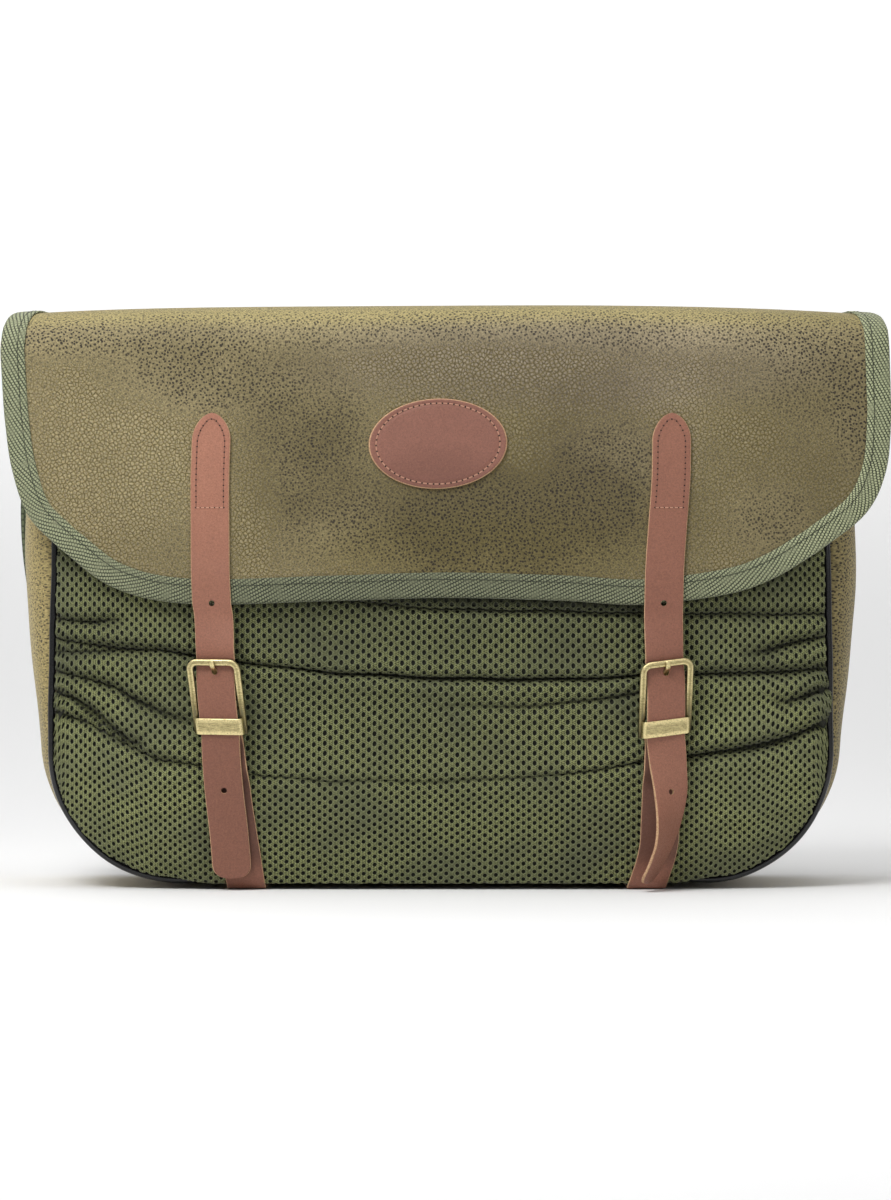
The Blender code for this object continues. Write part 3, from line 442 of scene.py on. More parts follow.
def swell(x, z):
    """How far the front stands forward of its seam."""
    share = np.clip(seam_distance(x, z) / SEAM_CORNER, 0.0, 1.0)
    rounded = np.sqrt(1 - (1 - share) ** 2)
    across = np.minimum(np.abs(x - BODY_X) / SEAM_HALF, 1.0)
    crown = FRONT_CROWN * (1 - across ** 2) * rounded
    flatten = 1 - TOP_FLATTEN * smoothstep((z - 150.0) / 120.0)
    return (FRONT_SWELL * rounded + crown) * flatten


def front_out(x, z):
    return FRONT_Y + PANEL_FRONT_Y - PANEL_SHARE * swell(x, z)


def back_out(x, z):
    return BACK_Y + BACK_SWELL * swell(x, z) / (FRONT_SWELL + FRONT_CROWN)


# Mesh pocket
def folds(x, z):
    """Folds of the gathered mesh, forward positive, and how much painted shade lies in and round their gaps,
    0 to 1.
    """
    relief = np.zeros(np.broadcast(x, z).shape)
    dark = np.zeros(relief.shape)
    aside = smoothstep((np.abs(x - BODY_X) - ASIDE_X) / ASIDE_RUN)
    for points in CREASES:
        table = np.array(points, float)
        inside = smoothstep((x - table[0, 0] + CREASE_END) / CREASE_END)
        inside = inside * smoothstep((table[-1, 0] + CREASE_END - x) / CREASE_END)
        scallop = 0.12 * np.sin(x / 0.92) + 0.3 * np.sin(x / 7.3)
        below = np.interp(x, table[:, 0], table[:, 1]) + scallop - z
        depth = np.interp(x, table[:, 0], table[:, 2]) * inside
        high = np.interp(x, table[:, 0], table[:, 3]) * GAP_SHARE
        # The roll above turns in along a quarter of a circle, and the cloth comes out again below the gap
        roll = ROLL + (ROLL_ASIDE - ROLL) * aside
        above = np.clip((below + roll) / roll, 0.0, 1.0)
        under = np.clip(1 - (below - high) / (roll + 1.0), 0.0, 1.0)
        turned_in = np.where(below < high, 1 - np.sqrt(1 - above ** 2), 1 - np.sqrt(1 - under ** 2))
        relief = relief - depth * turned_in
        relief = relief + 0.35 * depth * np.exp(-((below + roll + 1.0) / (3.5 + 0.4 * depth)) ** 2)
        relief = relief + 0.25 * depth * np.exp(-((below - high - roll - 1.5) / 4.0) ** 2)
        # Painted shade of the creases: a dark core in each gap and a softer halo round it
        strength = np.minimum(depth / 2.2, 1.0)
        core = smoothstep((below + 0.5) / 1.0) * np.exp(-(np.maximum(below, 0.0) / high) ** 3)
        core = core * np.clip(1.35 - 0.10 * high, 0.7, 1.0)
        spread = (below - 0.5 * high + 0.6 * aside) / (0.5 * high + 1.0 + 2.2 * aside)
        halo = (0.52 + 0.08 * aside) * np.exp(-spread ** 2)
        dark = np.maximum(dark, np.maximum(core, halo) * strength)
    waves = 0.5 * np.sin(0.21 * x + 0.33 * z + 1.3 * np.sin(0.05 * x + 0.4))
    waves = waves + 0.5 * np.sin(0.10 * x - 0.40 * z + 2.0 + 0.9 * np.sin(0.09 * z))
    relief = relief + (WAVES + (WAVES_ASIDE - WAVES) * aside) * waves
    strap = np.minimum(np.abs(x - column(STRAP_LINE, z, 1)), np.abs(x - column(STRAP_LINE, z, 2)))
    ridge = RIDGE + (RIDGE_TOP - RIDGE) * smoothstep((z - 130.0) / 10.0)
    ridge = PRESSED + (ridge - PRESSED) * smoothstep((strap - 11.0) / 10.0)
    return np.minimum(relief, ridge), dark


def flap_shadow(x, z):
    """How dark the mesh lies under the flap's edge, 0 to 1."""
    edge = np.array(FLAP_LEFT + FLAP_BASE[1:] + FLAP_RIGHT[-2::-1], float)
    table = np.array(FLAP_SHADOW)
    reach, strength = (np.interp(x, table[:, 0], table[:, k]) for k in (1, 2))
    return strength * smoothstep((z - np.interp(x, edge[:, 0], edge[:, 1]) + reach) / reach)


def bulge(x, z):
    """Share of the fold that bulges over the piping at the right."""
    return np.exp(-((z - BULGE_Z) / BULGE_REACH) ** 2) * smoothstep((x - 165.0) / 22.0)


def lip_drop(x, z):
    """How far the pocket's lower edge hangs over the seam below it."""
    share = 1 - smoothstep((np.abs(x - BODY_X) - LIP_FULL_X) / (LIP_END_X - LIP_FULL_X))
    down = np.maximum(z - SEAM_Z - 2.7, 0.0) / LIP_REACH
    return LIP_DROP * share * down * np.exp(1 - down)


def pocket_point(x, z):
    """Middle of the mesh where it would lie at (x, z) without hanging over."""
    low = z - lip_drop(x, z)
    firm = smoothstep((seam_distance(x, z) + 0.8) / 5.0)
    relief = folds(x, low)[0] * firm + BULGE_OUT * bulge(x, low)
    return np.stack([x, FRONT_Y + POCKET_FRONT_Y - swell(x, z) - relief, low], axis=-1)


def pocket_face(x, z):
    """Y of the mesh's outer face, creases left out, at the height that it really has."""
    z = np.maximum(z, FACE_LOW)
    plain = z
    for _ in range(12):
        plain = z + lip_drop(x, plain)
    return FRONT_Y + POCKET_FRONT_Y - swell(x, plain) - POCKET_THICK / 2


class GatheredMesh:
    """Map from the mesh's flat pattern to its gathered place. Its rows keep their way along the cloth."""

    def __init__(self):
        self.x = np.arange(-213.0, 209.0, 1.45)
        out = -swell(self.x, 145.0)
        steps = np.hypot(np.diff(self.x), np.diff(out))
        aside = (np.abs(self.x[1:] - BODY_X) - 90.0) / 70.0
        steps = steps * (1 + GATHER_SIDE * smoothstep(aside))
        self.u = np.concatenate([[0.0], np.cumsum(steps)])
        self.u = self.u - np.interp(BODY_X, self.x, self.u)
        heights = np.linspace(POCKET_TOP, SEAM_Z + 1.0, 1100)
        x, z = np.meshgrid(self.x, heights, indexing="ij")
        laid = pocket_point(x, z)
        steps = np.linalg.norm(np.diff(laid, axis=1), axis=2)
        steps = steps * (1 + GATHER_LOW * smoothstep((80.0 - heights[1:]) / 45.0))
        way = np.concatenate([np.zeros((len(self.x), 1)), np.cumsum(steps, axis=1)], axis=1)
        # Ways of neighbouring columns are evened out, so that the rows of holes run smoothly across the folds
        reach = 6
        share = np.exp(-(np.arange(-reach, reach + 1) / (reach / 2)) ** 2)
        share = share / share.sum()
        padded = np.vstack([way[:1]] * reach + [way] + [way[-1:]] * reach)
        way = sum(padded[k:k + len(way)] * part for k, part in enumerate(share))
        start = np.array([np.interp(-PERFORATED_TOP, -heights, row) for row in way])
        self.flat = PERFORATED_TOP + start[:, None] - way
        self.v = np.arange(self.flat.min() - 1.0, self.flat.max() + 1.0, 0.45)
        self.height = np.stack([np.interp(-self.v, -flat, heights) for flat in self.flat])

    def across(self, u):
        """X of a point of the flat pattern."""
        return np.interp(u, self.u, self.x)

    def plain(self, x, v):
        """Height that a point of the flat pattern has without hanging over."""
        i = np.clip((x - self.x[0]) / (self.x[1] - self.x[0]), 0, len(self.x) - 1.001)
        j = np.clip((v - self.v[0]) / (self.v[1] - self.v[0]), 0, len(self.v) - 1.001)
        a, b = i.astype(int), j.astype(int)
        s, t = i - a, j - b
        table = self.height
        low = table[a, b] * (1 - t) + table[a, b + 1] * t
        high = table[a + 1, b] * (1 - t) + table[a + 1, b + 1] * t
        return low * (1 - s) + high * s

    def place(self, x, v, inset):
        """Place of a point of the pattern, kept inside the seam, and whether it was outside."""
        z = self.plain(x, v)
        inset = inset - BULGE_OUT * bulge(x, z)
        near_x, near_z = kept_inside(x, z, inset)
        outside = np.hypot(near_x - x, near_z - z) > 0.01
        return pocket_point(near_x, near_z), outside

    def turned(self, x, v, inset):
        """Direction out of the mesh's face."""
        step = 0.5
        right = self.place(x + step, v, inset)[0] - self.place(x - step, v, inset)[0]
        up = self.place(x, v + step, inset)[0] - self.place(x, v - step, inset)[0]
        normal = np.cross(right, up)
        out = unit(normal)
        out[np.linalg.norm(normal, axis=1) < 1e-6] = (0, -1, 0)
        return out


# Flap
def flap_out(x, z):
    """Y of the flap's middle where it hangs down the front."""
    shape = np.maximum(1 - np.abs(x / FLAP_CROWN_HALF) ** 4, 0.0) ** 0.8
    flatten = 1 - 0.3 * smoothstep((z - 190.0) / 95.0)
    wave = 0.5 * np.sin(x / 31.0 + 0.6) * np.sin(z / 38.0)
    return FRONT_Y - FLAP_EDGE_OUT - FLAP_CROWN * shape * flatten - wave


def flap_top(x):
    return FLAP_TOP - FLAP_END_DROP * np.abs(x / FLAP_CROWN_HALF) ** FLAP_END_BEND + 0.3 * np.sin(x / 60.0)


def flap_point(x, drop):
    """Middle of the flap; drop is measured along it from the end of its front fold, down positive."""
    x, drop = np.broadcast_arrays(np.asarray(x, float), np.asarray(drop, float))
    top = flap_top(x)
    radius = top - FLAP_FOLD_Z
    front = flap_out(x, FLAP_FOLD_Z)
    back = back_out(x, FLAP_BACK_LOW) + FLAP_BACK_Y
    turn = -drop / FLAP_FOLD_R
    share = (-drop - FLAP_FRONT_ARC) / FLAP_TOP_RUN
    turn_back = (-drop - FLAP_FRONT_ARC - FLAP_TOP_RUN) / FLAP_BACK_R
    down = (turn_back - math.pi / 2) * FLAP_BACK_R / FLAP_BACK_RUN
    start = top - FLAP_BACK_R
    stages = [drop >= 0, turn <= math.pi / 2, share <= 1, turn_back <= math.pi / 2]
    y = np.select(stages, [
        flap_out(x, FLAP_FOLD_Z - drop),
        front + radius * (1 - np.cos(turn)),
        front + radius + (back - FLAP_BACK_R - front - radius) * share,
        back - FLAP_BACK_R * (1 - np.sin(turn_back))], back)
    z = np.select(stages, [
        FLAP_FOLD_Z - drop,
        FLAP_FOLD_Z + radius * np.sin(turn),
        top,
        top - FLAP_BACK_R * (1 - np.cos(turn_back))], start + (FLAP_BACK_LOW - start) * down)
    return np.stack([x, y, z], axis=-1)


def flap_turned(x, drop):
    """Direction out of the flap's outer face."""
    step = 0.5
    up = flap_point(x, drop - step) - flap_point(x, drop + step)
    across = flap_point(x + step, drop) - flap_point(x - step, drop)
    return unit(np.cross(across, up))


def flap_edge():
    """Free edge of the flap's flat pattern as (x, drop): left side, base and right side."""
    sides = []
    for line in (FLAP_LEFT, FLAP_BASE, FLAP_RIGHT):
        curve = smooth_line(line, 20)
        sides.append(np.stack([curve[:, 0], FLAP_FOLD_Z - curve[:, 1]], axis=1))
    return sides


def inward(edge):
    """Direction into the flap from each point of its free edge: sideways behind the front fold."""
    into = beside(runs(edge))
    behind = edge[:, 1] <= 0
    into[behind] = np.stack([-np.sign(edge[behind, 0]), np.zeros(behind.sum())], axis=1)
    return into


def flap_pattern(inset, across, back_rows, front_rows):
    """Grid of the flap's flat pattern, (x, drop), from the back seam to the front edge."""
    left, base, right = flap_edge()
    edge = np.vstack([left, base[1:], right[-2::-1]])
    edge = edge + inward(edge) * inset
    first_end = len(left) - 1
    base_end = first_end + len(base) - 1
    left, base, right = edge[:first_end + 1], edge[first_end:base_end + 1], edge[:base_end - 1:-1]
    stops = [row[0] for row in FLAP_BACK_EDGE]
    spans = zip(stops, stops[1:], back_rows)
    ways = np.concatenate([np.linspace(a, b, n, endpoint=False) for a, b, n in spans])
    u = smoothstep(np.linspace(0, 1, across)) * 0.25 + np.linspace(0, 1, across) * 0.75
    rows = []
    for way in ways:
        start = column(FLAP_BACK_EDGE, way, 1) + inset
        stop = column(FLAP_BACK_EDGE, way, 2) - inset
        rows.append(np.stack([start + (stop - start) * u, np.full(across, -way)], axis=1))
    v = np.linspace(0, 1, front_rows)
    west, east, low = even(left, v), even(right, v), even(base, u)
    for k, share in enumerate(v):
        top = west[0] * (1 - u[:, None]) + east[0] * u[:, None]
        corners = top * (1 - share) + (low[0] * (1 - u[:, None]) + low[-1] * u[:, None]) * share
        sides = west[k] * (1 - u[:, None]) + east[k] * u[:, None]
        rows.append(top * (1 - share) + low * share + sides - corners)
    return np.array(rows)


# Buckles and straps
def strap_x(side, z):
    """X of a strap's middle at a height."""
    return float(column(STRAP_LINE, z, 1 if side == "left" else 2))


class Seat:
    """Place of a buckle: local across, height and distance out of its frame's plane."""

    def __init__(self, side):
        place = BUCKLES[side]
        self.across = unit(np.array(place["across"]))
        self.up = unit(np.array(place["up"]))
        self.out = unit(np.cross(self.up, self.across))
        if self.out[1] > 0:
            self.out = -self.out
        turned = abs(self.across[1]) * STRAP_WIDE / 2
        gap = PRESSED + CLEAR + turned + LOOP_R + STRAP_THICK / 2 - HEEL_D
        self.origin = np.array([place["x"], float(pocket_face(place["x"], place["z"])) - gap, place["z"]])

    def at(self, across, height, out):
        """Point at a place of the buckle."""
        return self.origin + self.across * across + self.up * height + self.out * out


class Strap:
    """Strap along smooth stations: its middle, its direction across, and its outer face."""

    def __init__(self, stations, tips):
        line = smooth_line([s[0] for s in stations], 8)
        sides = smooth_line([s[1] for s in stations], 8)
        self.raw_way = lengths(line)
        self.line, self.sides = line, sides
        self.long = self.raw_way[-1]
        self.tips = tips
        plain = np.linspace(0, self.long, max(int(self.long / STRAP_STEP), 2))
        near = np.concatenate([[0.02, 0.3, 0.8, 1.5], np.arange(2.4, 14.0, 1.2)])
        near = near[near < max(tips) + 2] if max(tips) > 0 else near[:0]
        ways = np.unique(np.concatenate([plain, near, self.long - near]).round(3))
        self.ways = ways[np.concatenate([[True], np.diff(ways) > 0.25])]

    def middle(self, way):
        return at_way(self.line, self.raw_way, np.atleast_1d(way))

    def across(self, way):
        return unit(at_way(self.sides, self.raw_way, np.atleast_1d(way)))

    def out(self, way):
        way = np.atleast_1d(way)
        run = self.middle(np.minimum(way + 1.0, self.long)) - self.middle(np.maximum(way - 1.0, 0))
        return unit(np.cross(run, self.across(way)))

    def half(self, way):
        """Half-width: a long pointed arch at the start, and a squarer round end."""
        wide = np.full(np.shape(way), STRAP_WIDE / 2)
        for reach, from_end, power in zip(self.tips, (way, self.long - way), TIP_POWERS):
            if reach:
                near = np.clip(from_end / reach, 0.0, 1.0)
                wide = wide * np.maximum(1 - (1 - near) ** power, 0.0015) ** (1 / power)
        return wide

    def on_face(self, way, off, lift=0.0):
        """Points of the outer face, and the directions out of it."""
        out = self.out(way)
        spot = self.middle(way) + self.across(way) * np.atleast_1d(off)[:, None]
        return spot + out * (STRAP_THICK / 2 + lift), out

    def at_height(self, z):
        """Way along the strap where it first comes down to a height."""
        found = np.nonzero(self.line[:, 2] <= z)[0]
        return self.raw_way[found[0]]


# Node trees
def add(tree, kind, values=None, **settings):
    """Add a node. Values give its inputs by name or number: a value, or another node's output."""
    node = tree.nodes.new(kind)
    for key, value in settings.items():
        setattr(node, key, value)
    for key, value in (values or {}).items():
        if isinstance(value, bpy.types.NodeSocket):
            tree.links.new(value, node.inputs[key])
        else:
            node.inputs[key].default_value = value
    return node


def first(tree, kind, values=None, **settings):
    """First output of a new node."""
    return add(tree, kind, values, **settings).outputs[0]


def calc(tree, operation, *values):
    return first(tree, "ShaderNodeMath", dict(enumerate(values)), operation=operation)


def times(tree, a, b):
    return calc(tree, "MULTIPLY", a, b)


def times_plus(tree, a, b, c):
    """a times b, plus c."""
    return calc(tree, "MULTIPLY_ADD", a, b, c)


def minus(tree, a, b):
    return calc(tree, "SUBTRACT", a, b)


def clamped(tree, value):
    return first(tree, "ShaderNodeClamp", {0: value})


def vectors(tree, operation, a, b):
    """Vector a with vector b, or scaled by the number b."""
    second = "Scale" if operation == "SCALE" else 1
    return first(tree, "ShaderNodeVectorMath", {0: a, second: b}, operation=operation)


def turned_z(tree, vector, angle):
    return first(tree, "ShaderNodeVectorRotate", {"Vector": vector, "Angle": angle}, rotation_type="Z_AXIS")


def xyz(tree, x, y=0.0, z=0.0):
    return first(tree, "ShaderNodeCombineXYZ", {0: x, 1: y, 2: z})


def parts(tree, vector):
    """X, Y and Z of a vector."""
    return add(tree, "ShaderNodeSeparateXYZ", {0: vector}).outputs


def new_group(name, kind, inputs, outputs, result="Float"):
    """Node group with its sockets: the tree, its inputs as the nodes read them, and its outputs to be fed."""
    tree = bpy.data.node_groups.new(name, kind)
    for title, socket, value in inputs:
        made = tree.interface.new_socket(name=title, in_out="INPUT", socket_type="NodeSocket" + socket)
        if value is not None:
            made.default_value = value
    for title in outputs:
        tree.interface.new_socket(name=title, in_out="OUTPUT", socket_type="NodeSocket" + result)
    return tree, tree.nodes.new("NodeGroupInput").outputs, tree.nodes.new("NodeGroupOutput").inputs


def give(tree, out, **values):
    """Feed a group's outputs, and return its tree."""
    for title, value in values.items():
        tree.links.new(value, out[title])
    return tree


def ramp(tree, value, low, high):
    """0 below low and 1 above high, with a smooth change between; low may be the larger one."""
    falls = low > high
    values = {0: value, 1: min(low, high), 2: max(low, high), 3: float(falls), 4: float(not falls)}
    return first(tree, "ShaderNodeMapRange", values, interpolation_type="SMOOTHSTEP")


def mixed(tree, factor, a, b, blend="MIX"):
    """Colour a where the factor is 0 and b where it is 1."""
    a, b = ((*colour, 1.0) if isinstance(colour, tuple) else colour for colour in (a, b))
    return add(tree, "ShaderNodeMix", {0: factor, 6: a, 7: b}, data_type="RGBA", blend_type=blend).outputs[2]


def scaled(tree, colour, value):
    """Colour times a value."""
    return mixed(tree, 1.0, colour, xyz(tree, value, value, value), "MULTIPLY")


def toned(colour, share):
    """Plain colour times a share."""
    return tuple(share * part for part in colour)


def noise(tree, vector, scale, detail=2.0, rough=0.5, output=0):
    """Noise as a value, or with output 1 as three values."""
    values = {"Vector": vector, "Scale": scale, "Detail": detail, "Roughness": rough}
    return add(tree, "ShaderNodeTexNoise", values).outputs[output]


def cells(tree, vector, scale, randomness, feature, dimensions):
    values = {"Vector": vector, "Scale": scale, "Randomness": randomness}
    return add(tree, "ShaderNodeTexVoronoi", values, feature=feature, voronoi_dimensions=dimensions).outputs


def pebbled_group():
    """Grain of a pebbled coating on one net of cells: dark pits in some zones and soft bubbles in others."""
    tree, given, out = new_group(
        "pebbled grain", "ShaderNodeTree",
        [("Vector", "Vector", None), ("Pitting", "Float", 0.5), ("Bubbling", "Float", 0.5),
         ("Cell", "Float", 0.46)], ("Height", "Seams", "Pits", "Tops", "Fleck"))
    vector, pitting, bubbling = given["Vector"], given["Pitting"], given["Bubbling"]
    drift = vectors(tree, "SUBTRACT", noise(tree, vector, 0.16, output=1), (0.5, 0.5, 0.5))
    moved = turned_z(tree, vectors(tree, "ADD", vector, vectors(tree, "SCALE", drift, 2.4)), 0.63)
    net = cells(tree, moved, given["Cell"], 0.80, "F1", "2D")
    edges = cells(tree, moved, given["Cell"], 0.80, "DISTANCE_TO_EDGE", "2D")
    fleck = noise(tree, vector, 0.9, 3.0, 0.75)
    size = times_plus(tree, pitting, 0.08, 0.13)
    size = times_plus(tree, parts(tree, net["Color"])[0], 0.11, size)
    pits = times(tree, ramp(tree, minus(tree, size, net["Distance"]), -0.06, 0.06), pitting)
    seams = times(tree, ramp(tree, edges["Distance"], 0.20, 0.03), bubbling)
    tops = times(tree, ramp(tree, net["Distance"], 0.38, 0.14), bubbling)
    height = times_plus(tree, seams, -0.35, minus(tree, tops, pits))
    height = times_plus(tree, fleck, 0.45, height)
    return give(tree, out, Height=height, Seams=seams, Pits=pits, Tops=tops, Fleck=fleck)


def webbing_group():
    """Woven ribs: rows of short floats along the tape, each row shifted against the next."""
    tree, given, out = new_group(
        "woven ribs", "ShaderNodeTree",
        [("Vector", "Vector", None), ("Row", "Float", 1.6), ("Float", "Float", 1.3), ("Shift", "Float", 0.5),
         ("Turn", "Float", 0.0)], ("Height", "Thread"))
    vector = given["Vector"]
    drift = vectors(tree, "SCALE", noise(tree, vector, 0.12, output=1), 1.1)
    along, across, _ = parts(tree, turned_z(tree, vectors(tree, "ADD", vector, drift), given["Turn"]))
    rows = calc(tree, "DIVIDE", across, given["Row"])
    floats = calc(tree, "DIVIDE", along, given["Float"])
    floats = times_plus(tree, calc(tree, "FLOOR", rows), given["Shift"], floats)

    def hump(value, power):
        """1 halfway between two whole numbers and 0 at each."""
        doubled = times_plus(tree, calc(tree, "FRACT", value), 2.0, -1.0)
        return minus(tree, 1.0, calc(tree, "POWER", calc(tree, "ABSOLUTE", doubled), power))

    thread = times(tree, hump(rows, 2.2), times_plus(tree, hump(floats, 2.0), 0.80, 0.20))
    height = times_plus(tree, noise(tree, vector, 2.6, 2.0, 0.6), 0.35, thread)
    return give(tree, out, Height=height, Thread=thread)


def leather_group():
    """Fine leather grain with soft mottling."""
    tree, given, out = new_group("leather grain", "ShaderNodeTree", [("Vector", "Vector", None)],
                                 ("Height", "Mottle", "Pores"))
    vector = given["Vector"]
    pores = ramp(tree, cells(tree, vector, 1.5, 1.0, "DISTANCE_TO_EDGE", "3D")["Distance"], 0.1, 0.0)
    height = times_plus(tree, pores, -0.35, noise(tree, vector, 3.2, 3.0, 0.6))
    return give(tree, out, Height=height, Mottle=noise(tree, vector, 0.07, 4.0, 0.6), Pores=pores)


GROUPS = {}


def group(tree, name, **values):
    """Outputs of a node group, placed with its own values."""
    return add(tree, "ShaderNodeGroup", values, node_tree=GROUPS[name]).outputs


# Finishes
def shader_input(made, title):
    return made.node_tree.nodes["Principled BSDF"].inputs[title]


def finish(name, roughness, metallic=0.0, specular=0.5, sheen=0.0, coat=0.0):
    """New material and its node tree."""
    made = bpy.data.materials.new(name)
    made.use_nodes = True
    for title, value in (("Roughness", roughness), ("Metallic", metallic), ("Specular IOR Level", specular),
                         ("Sheen Weight", sheen), ("Coat Weight", coat)):
        shader_input(made, title).default_value = value
    return made, made.node_tree


def finished(made, colour, height, deep, roughness=None):
    """Material with its colour, a bump whose depth is in millimetres, and its roughness where that varies."""
    tree = made.node_tree
    bump = first(tree, "ShaderNodeBump", {"Height": height, "Strength": 1.0, "Distance": deep * METRES})
    for title, value in (("Base Color", colour), ("Normal", bump), ("Roughness", roughness)):
        if value is not None:
            tree.links.new(value, shader_input(made, title))
    return made


def flat_uv(tree):
    """Place on the flat pattern, in millimetres."""
    return first(tree, "ShaderNodeUVMap", uv_map="flat")


def solid_place(tree):
    """Place in the object, in millimetres."""
    return vectors(tree, "SCALE", add(tree, "ShaderNodeTexCoord").outputs["Object"], 1 / METRES)


def stored(tree, title):
    """Value that a piece keeps for each of its points."""
    return add(tree, "ShaderNodeAttribute", attribute_name=title).outputs["Fac"]


def patched(tree, place, start, patches):
    """Value with soft oval patches added: x, down, reach x, reach down and strength of each."""
    total = start
    for x, down, reach_x, reach_down, strength in patches:
        across = calc(tree, "DIVIDE", minus(tree, place[0], x), reach_x)
        along = calc(tree, "DIVIDE", minus(tree, place[1], down), reach_down)
        square = times_plus(tree, across, across, times(tree, along, along))
        total = times_plus(tree, ramp(tree, square, 1.0, 0.0), strength, total)
    return total


def pebbled_fabric(name, light, dark, cell, grain_start, grain_patches=(), tone_start=0.3, tone_patches=(),
                   cool_patches=()):
    """Coated fabric, whose grain goes from bubbles to pits and whose tone from light to dark."""
    made, tree = finish(name, 0.70, specular=0.28, sheen=0.10)
    uv = flat_uv(tree)
    place = parts(tree, uv)
    broad = minus(tree, noise(tree, uv, 0.018, 3.0, 0.55), 0.5)
    streaks = minus(tree, noise(tree, uv, 0.06, 4.0, 0.65), 0.5)
    zone = patched(tree, place, times_plus(tree, streaks, 0.9, grain_start), grain_patches)
    zone = times_plus(tree, broad, 0.8, zone)
    grain = group(tree, "pebbled", Vector=uv, Pitting=ramp(tree, zone, -0.75, 1.1),
                  Bubbling=ramp(tree, zone, 0.75, -0.35), Cell=cell)
    tone = patched(tree, place, times_plus(tree, broad, 0.45, tone_start), tone_patches)
    colour = mixed(tree, clamped(tree, times_plus(tree, streaks, 0.35, tone)), light, dark)
    # Painted highlight on the bubble tops
    bubble_highlight = tuple(0.86 * part + more for part, more in zip(light, (0.02, 0.03, 0.045)))
    colour = mixed(tree, times(tree, grain["Tops"], 0.45), colour, bubble_highlight)
    # Painted shade in the seams between the bubbles
    seam_shade = tuple(part * share for part, share in zip(dark, (0.9, 0.85, 0.55)))
    colour = mixed(tree, times(tree, grain["Seams"], 0.90), colour, seam_shade)
    colour = scaled(tree, colour, times_plus(tree, grain["Fleck"], 3.2, -0.5))
    colour = mixed(tree, times(tree, grain["Pits"], 0.96), colour, PIT_COLOUR)
    cool = xyz(tree, 1.0, 1.0, patched(tree, place, 1.0, cool_patches))
    return finished(made, mixed(tree, 1.0, colour, cool, "MULTIPLY"), grain["Height"], 0.16)


def webbing(name, thread, gap, row, float_long, shift, turn=0.0, levels=()):
    """Woven tape, lighter or darker in the patches of its length."""
    made, tree = finish(name, 0.62, specular=0.3, sheen=0.12)
    uv = flat_uv(tree)
    weave = group(tree, "webbing", Vector=uv, Row=row, Float=float_long, Shift=shift, Turn=turn)
    colour = mixed(tree, ramp(tree, weave["Thread"], 0.16, 0.80), gap, thread)
    worn = ramp(tree, noise(tree, uv, 0.12, 3.0, 0.6), 0.45, 0.8)
    colour = mixed(tree, worn, colour, toned(thread, 0.62))
    colour = scaled(tree, colour, patched(tree, parts(tree, uv), 1.0, levels))
    return finished(made, colour, weave["Height"], 0.28)


def grained_leather(name, base, dark):
    """Mottled leather with fine pores; painted shade darkens it low down and in places of the front."""
    made, tree = finish(name, 0.46, specular=0.42)
    place = solid_place(tree)
    x, _, z = parts(tree, place)
    grain = group(tree, "leather", Vector=place)
    colour = mixed(tree, times_plus(tree, grain["Mottle"], 0.5, 0.1), base, dark)
    # Painted shade: darker towards the bottom and in patches
    darkened = patched(tree, (x, z), times(tree, ramp(tree, z, 210.0, 80.0), 0.75), LEATHER_SHADE_PATCHES)
    colour = mixed(tree, clamped(tree, darkened), colour, toned(dark, 0.90))
    # Painted shadow where a piece is marked shaded
    colour = mixed(tree, stored(tree, "shaded"), colour, toned(dark, 0.16))
    # Painted light and shade: lighter at the top of the left strap, darker at its tail
    colour = scaled(tree, colour, patched(tree, (x, z), 1.0, LEATHER_LIGHT_LEVELS))
    colour = scaled(tree, colour, times_plus(tree, noise(tree, place, 1.1, 3.0, 0.8), 1.1, 0.45))
    colour = mixed(tree, times(tree, grain["Pores"], 0.35), colour, toned(dark, 0.5))
    return finished(made, colour, grain["Height"], 0.16, times_plus(tree, grain["Mottle"], 0.12, 0.40))


def raw_leather():
    """Cut edge of the leather: pale, fibrous."""
    made, tree = finish("raw leather edge", 0.85, specular=0.2)
    fibre = noise(tree, solid_place(tree), 1.3, 4.0, 0.7)
    colour = mixed(tree, ramp(tree, fibre, 0.35, 0.72), (0.58, 0.38, 0.22), (0.33, 0.16, 0.09))
    return finished(made, colour, fibre, 0.15)


def aged_brass():
    """Brushed brass with small dark pits, bright where it is worn and where a highlight is painted, dark
    where shade is painted.
    """
    made, tree = finish("aged brass", 0.36, metallic=1.0)
    place = solid_place(tree)
    wear_and_light = stored(tree, "wear_and_light")
    brushed = noise(tree, vectors(tree, "MULTIPLY", place, (0.30, 0.9, 5.0)), 1.0, 3.0, 0.6)
    pits = ramp(tree, noise(tree, place, 1.4, 4.0, 0.75), 0.50, 0.66)
    darkened = ramp(tree, times_plus(tree, wear_and_light, -0.75, brushed), -0.20, 0.40)
    colour = mixed(tree, darkened, (0.86, 0.73, 0.38), (0.29, 0.24, 0.11))
    # Painted shade, with some patina, where the brass is least worn and lit
    colour = mixed(tree, times(tree, ramp(tree, wear_and_light, 0.26, 0.02), 0.8), colour, (0.10, 0.095, 0.07))
    colour = mixed(tree, times(tree, pits, 0.55), colour, (0.13, 0.10, 0.05))
    height = times_plus(tree, pits, -0.8, brushed)
    return finished(made, colour, height, 0.05, times_plus(tree, brushed, 0.22, 0.24))


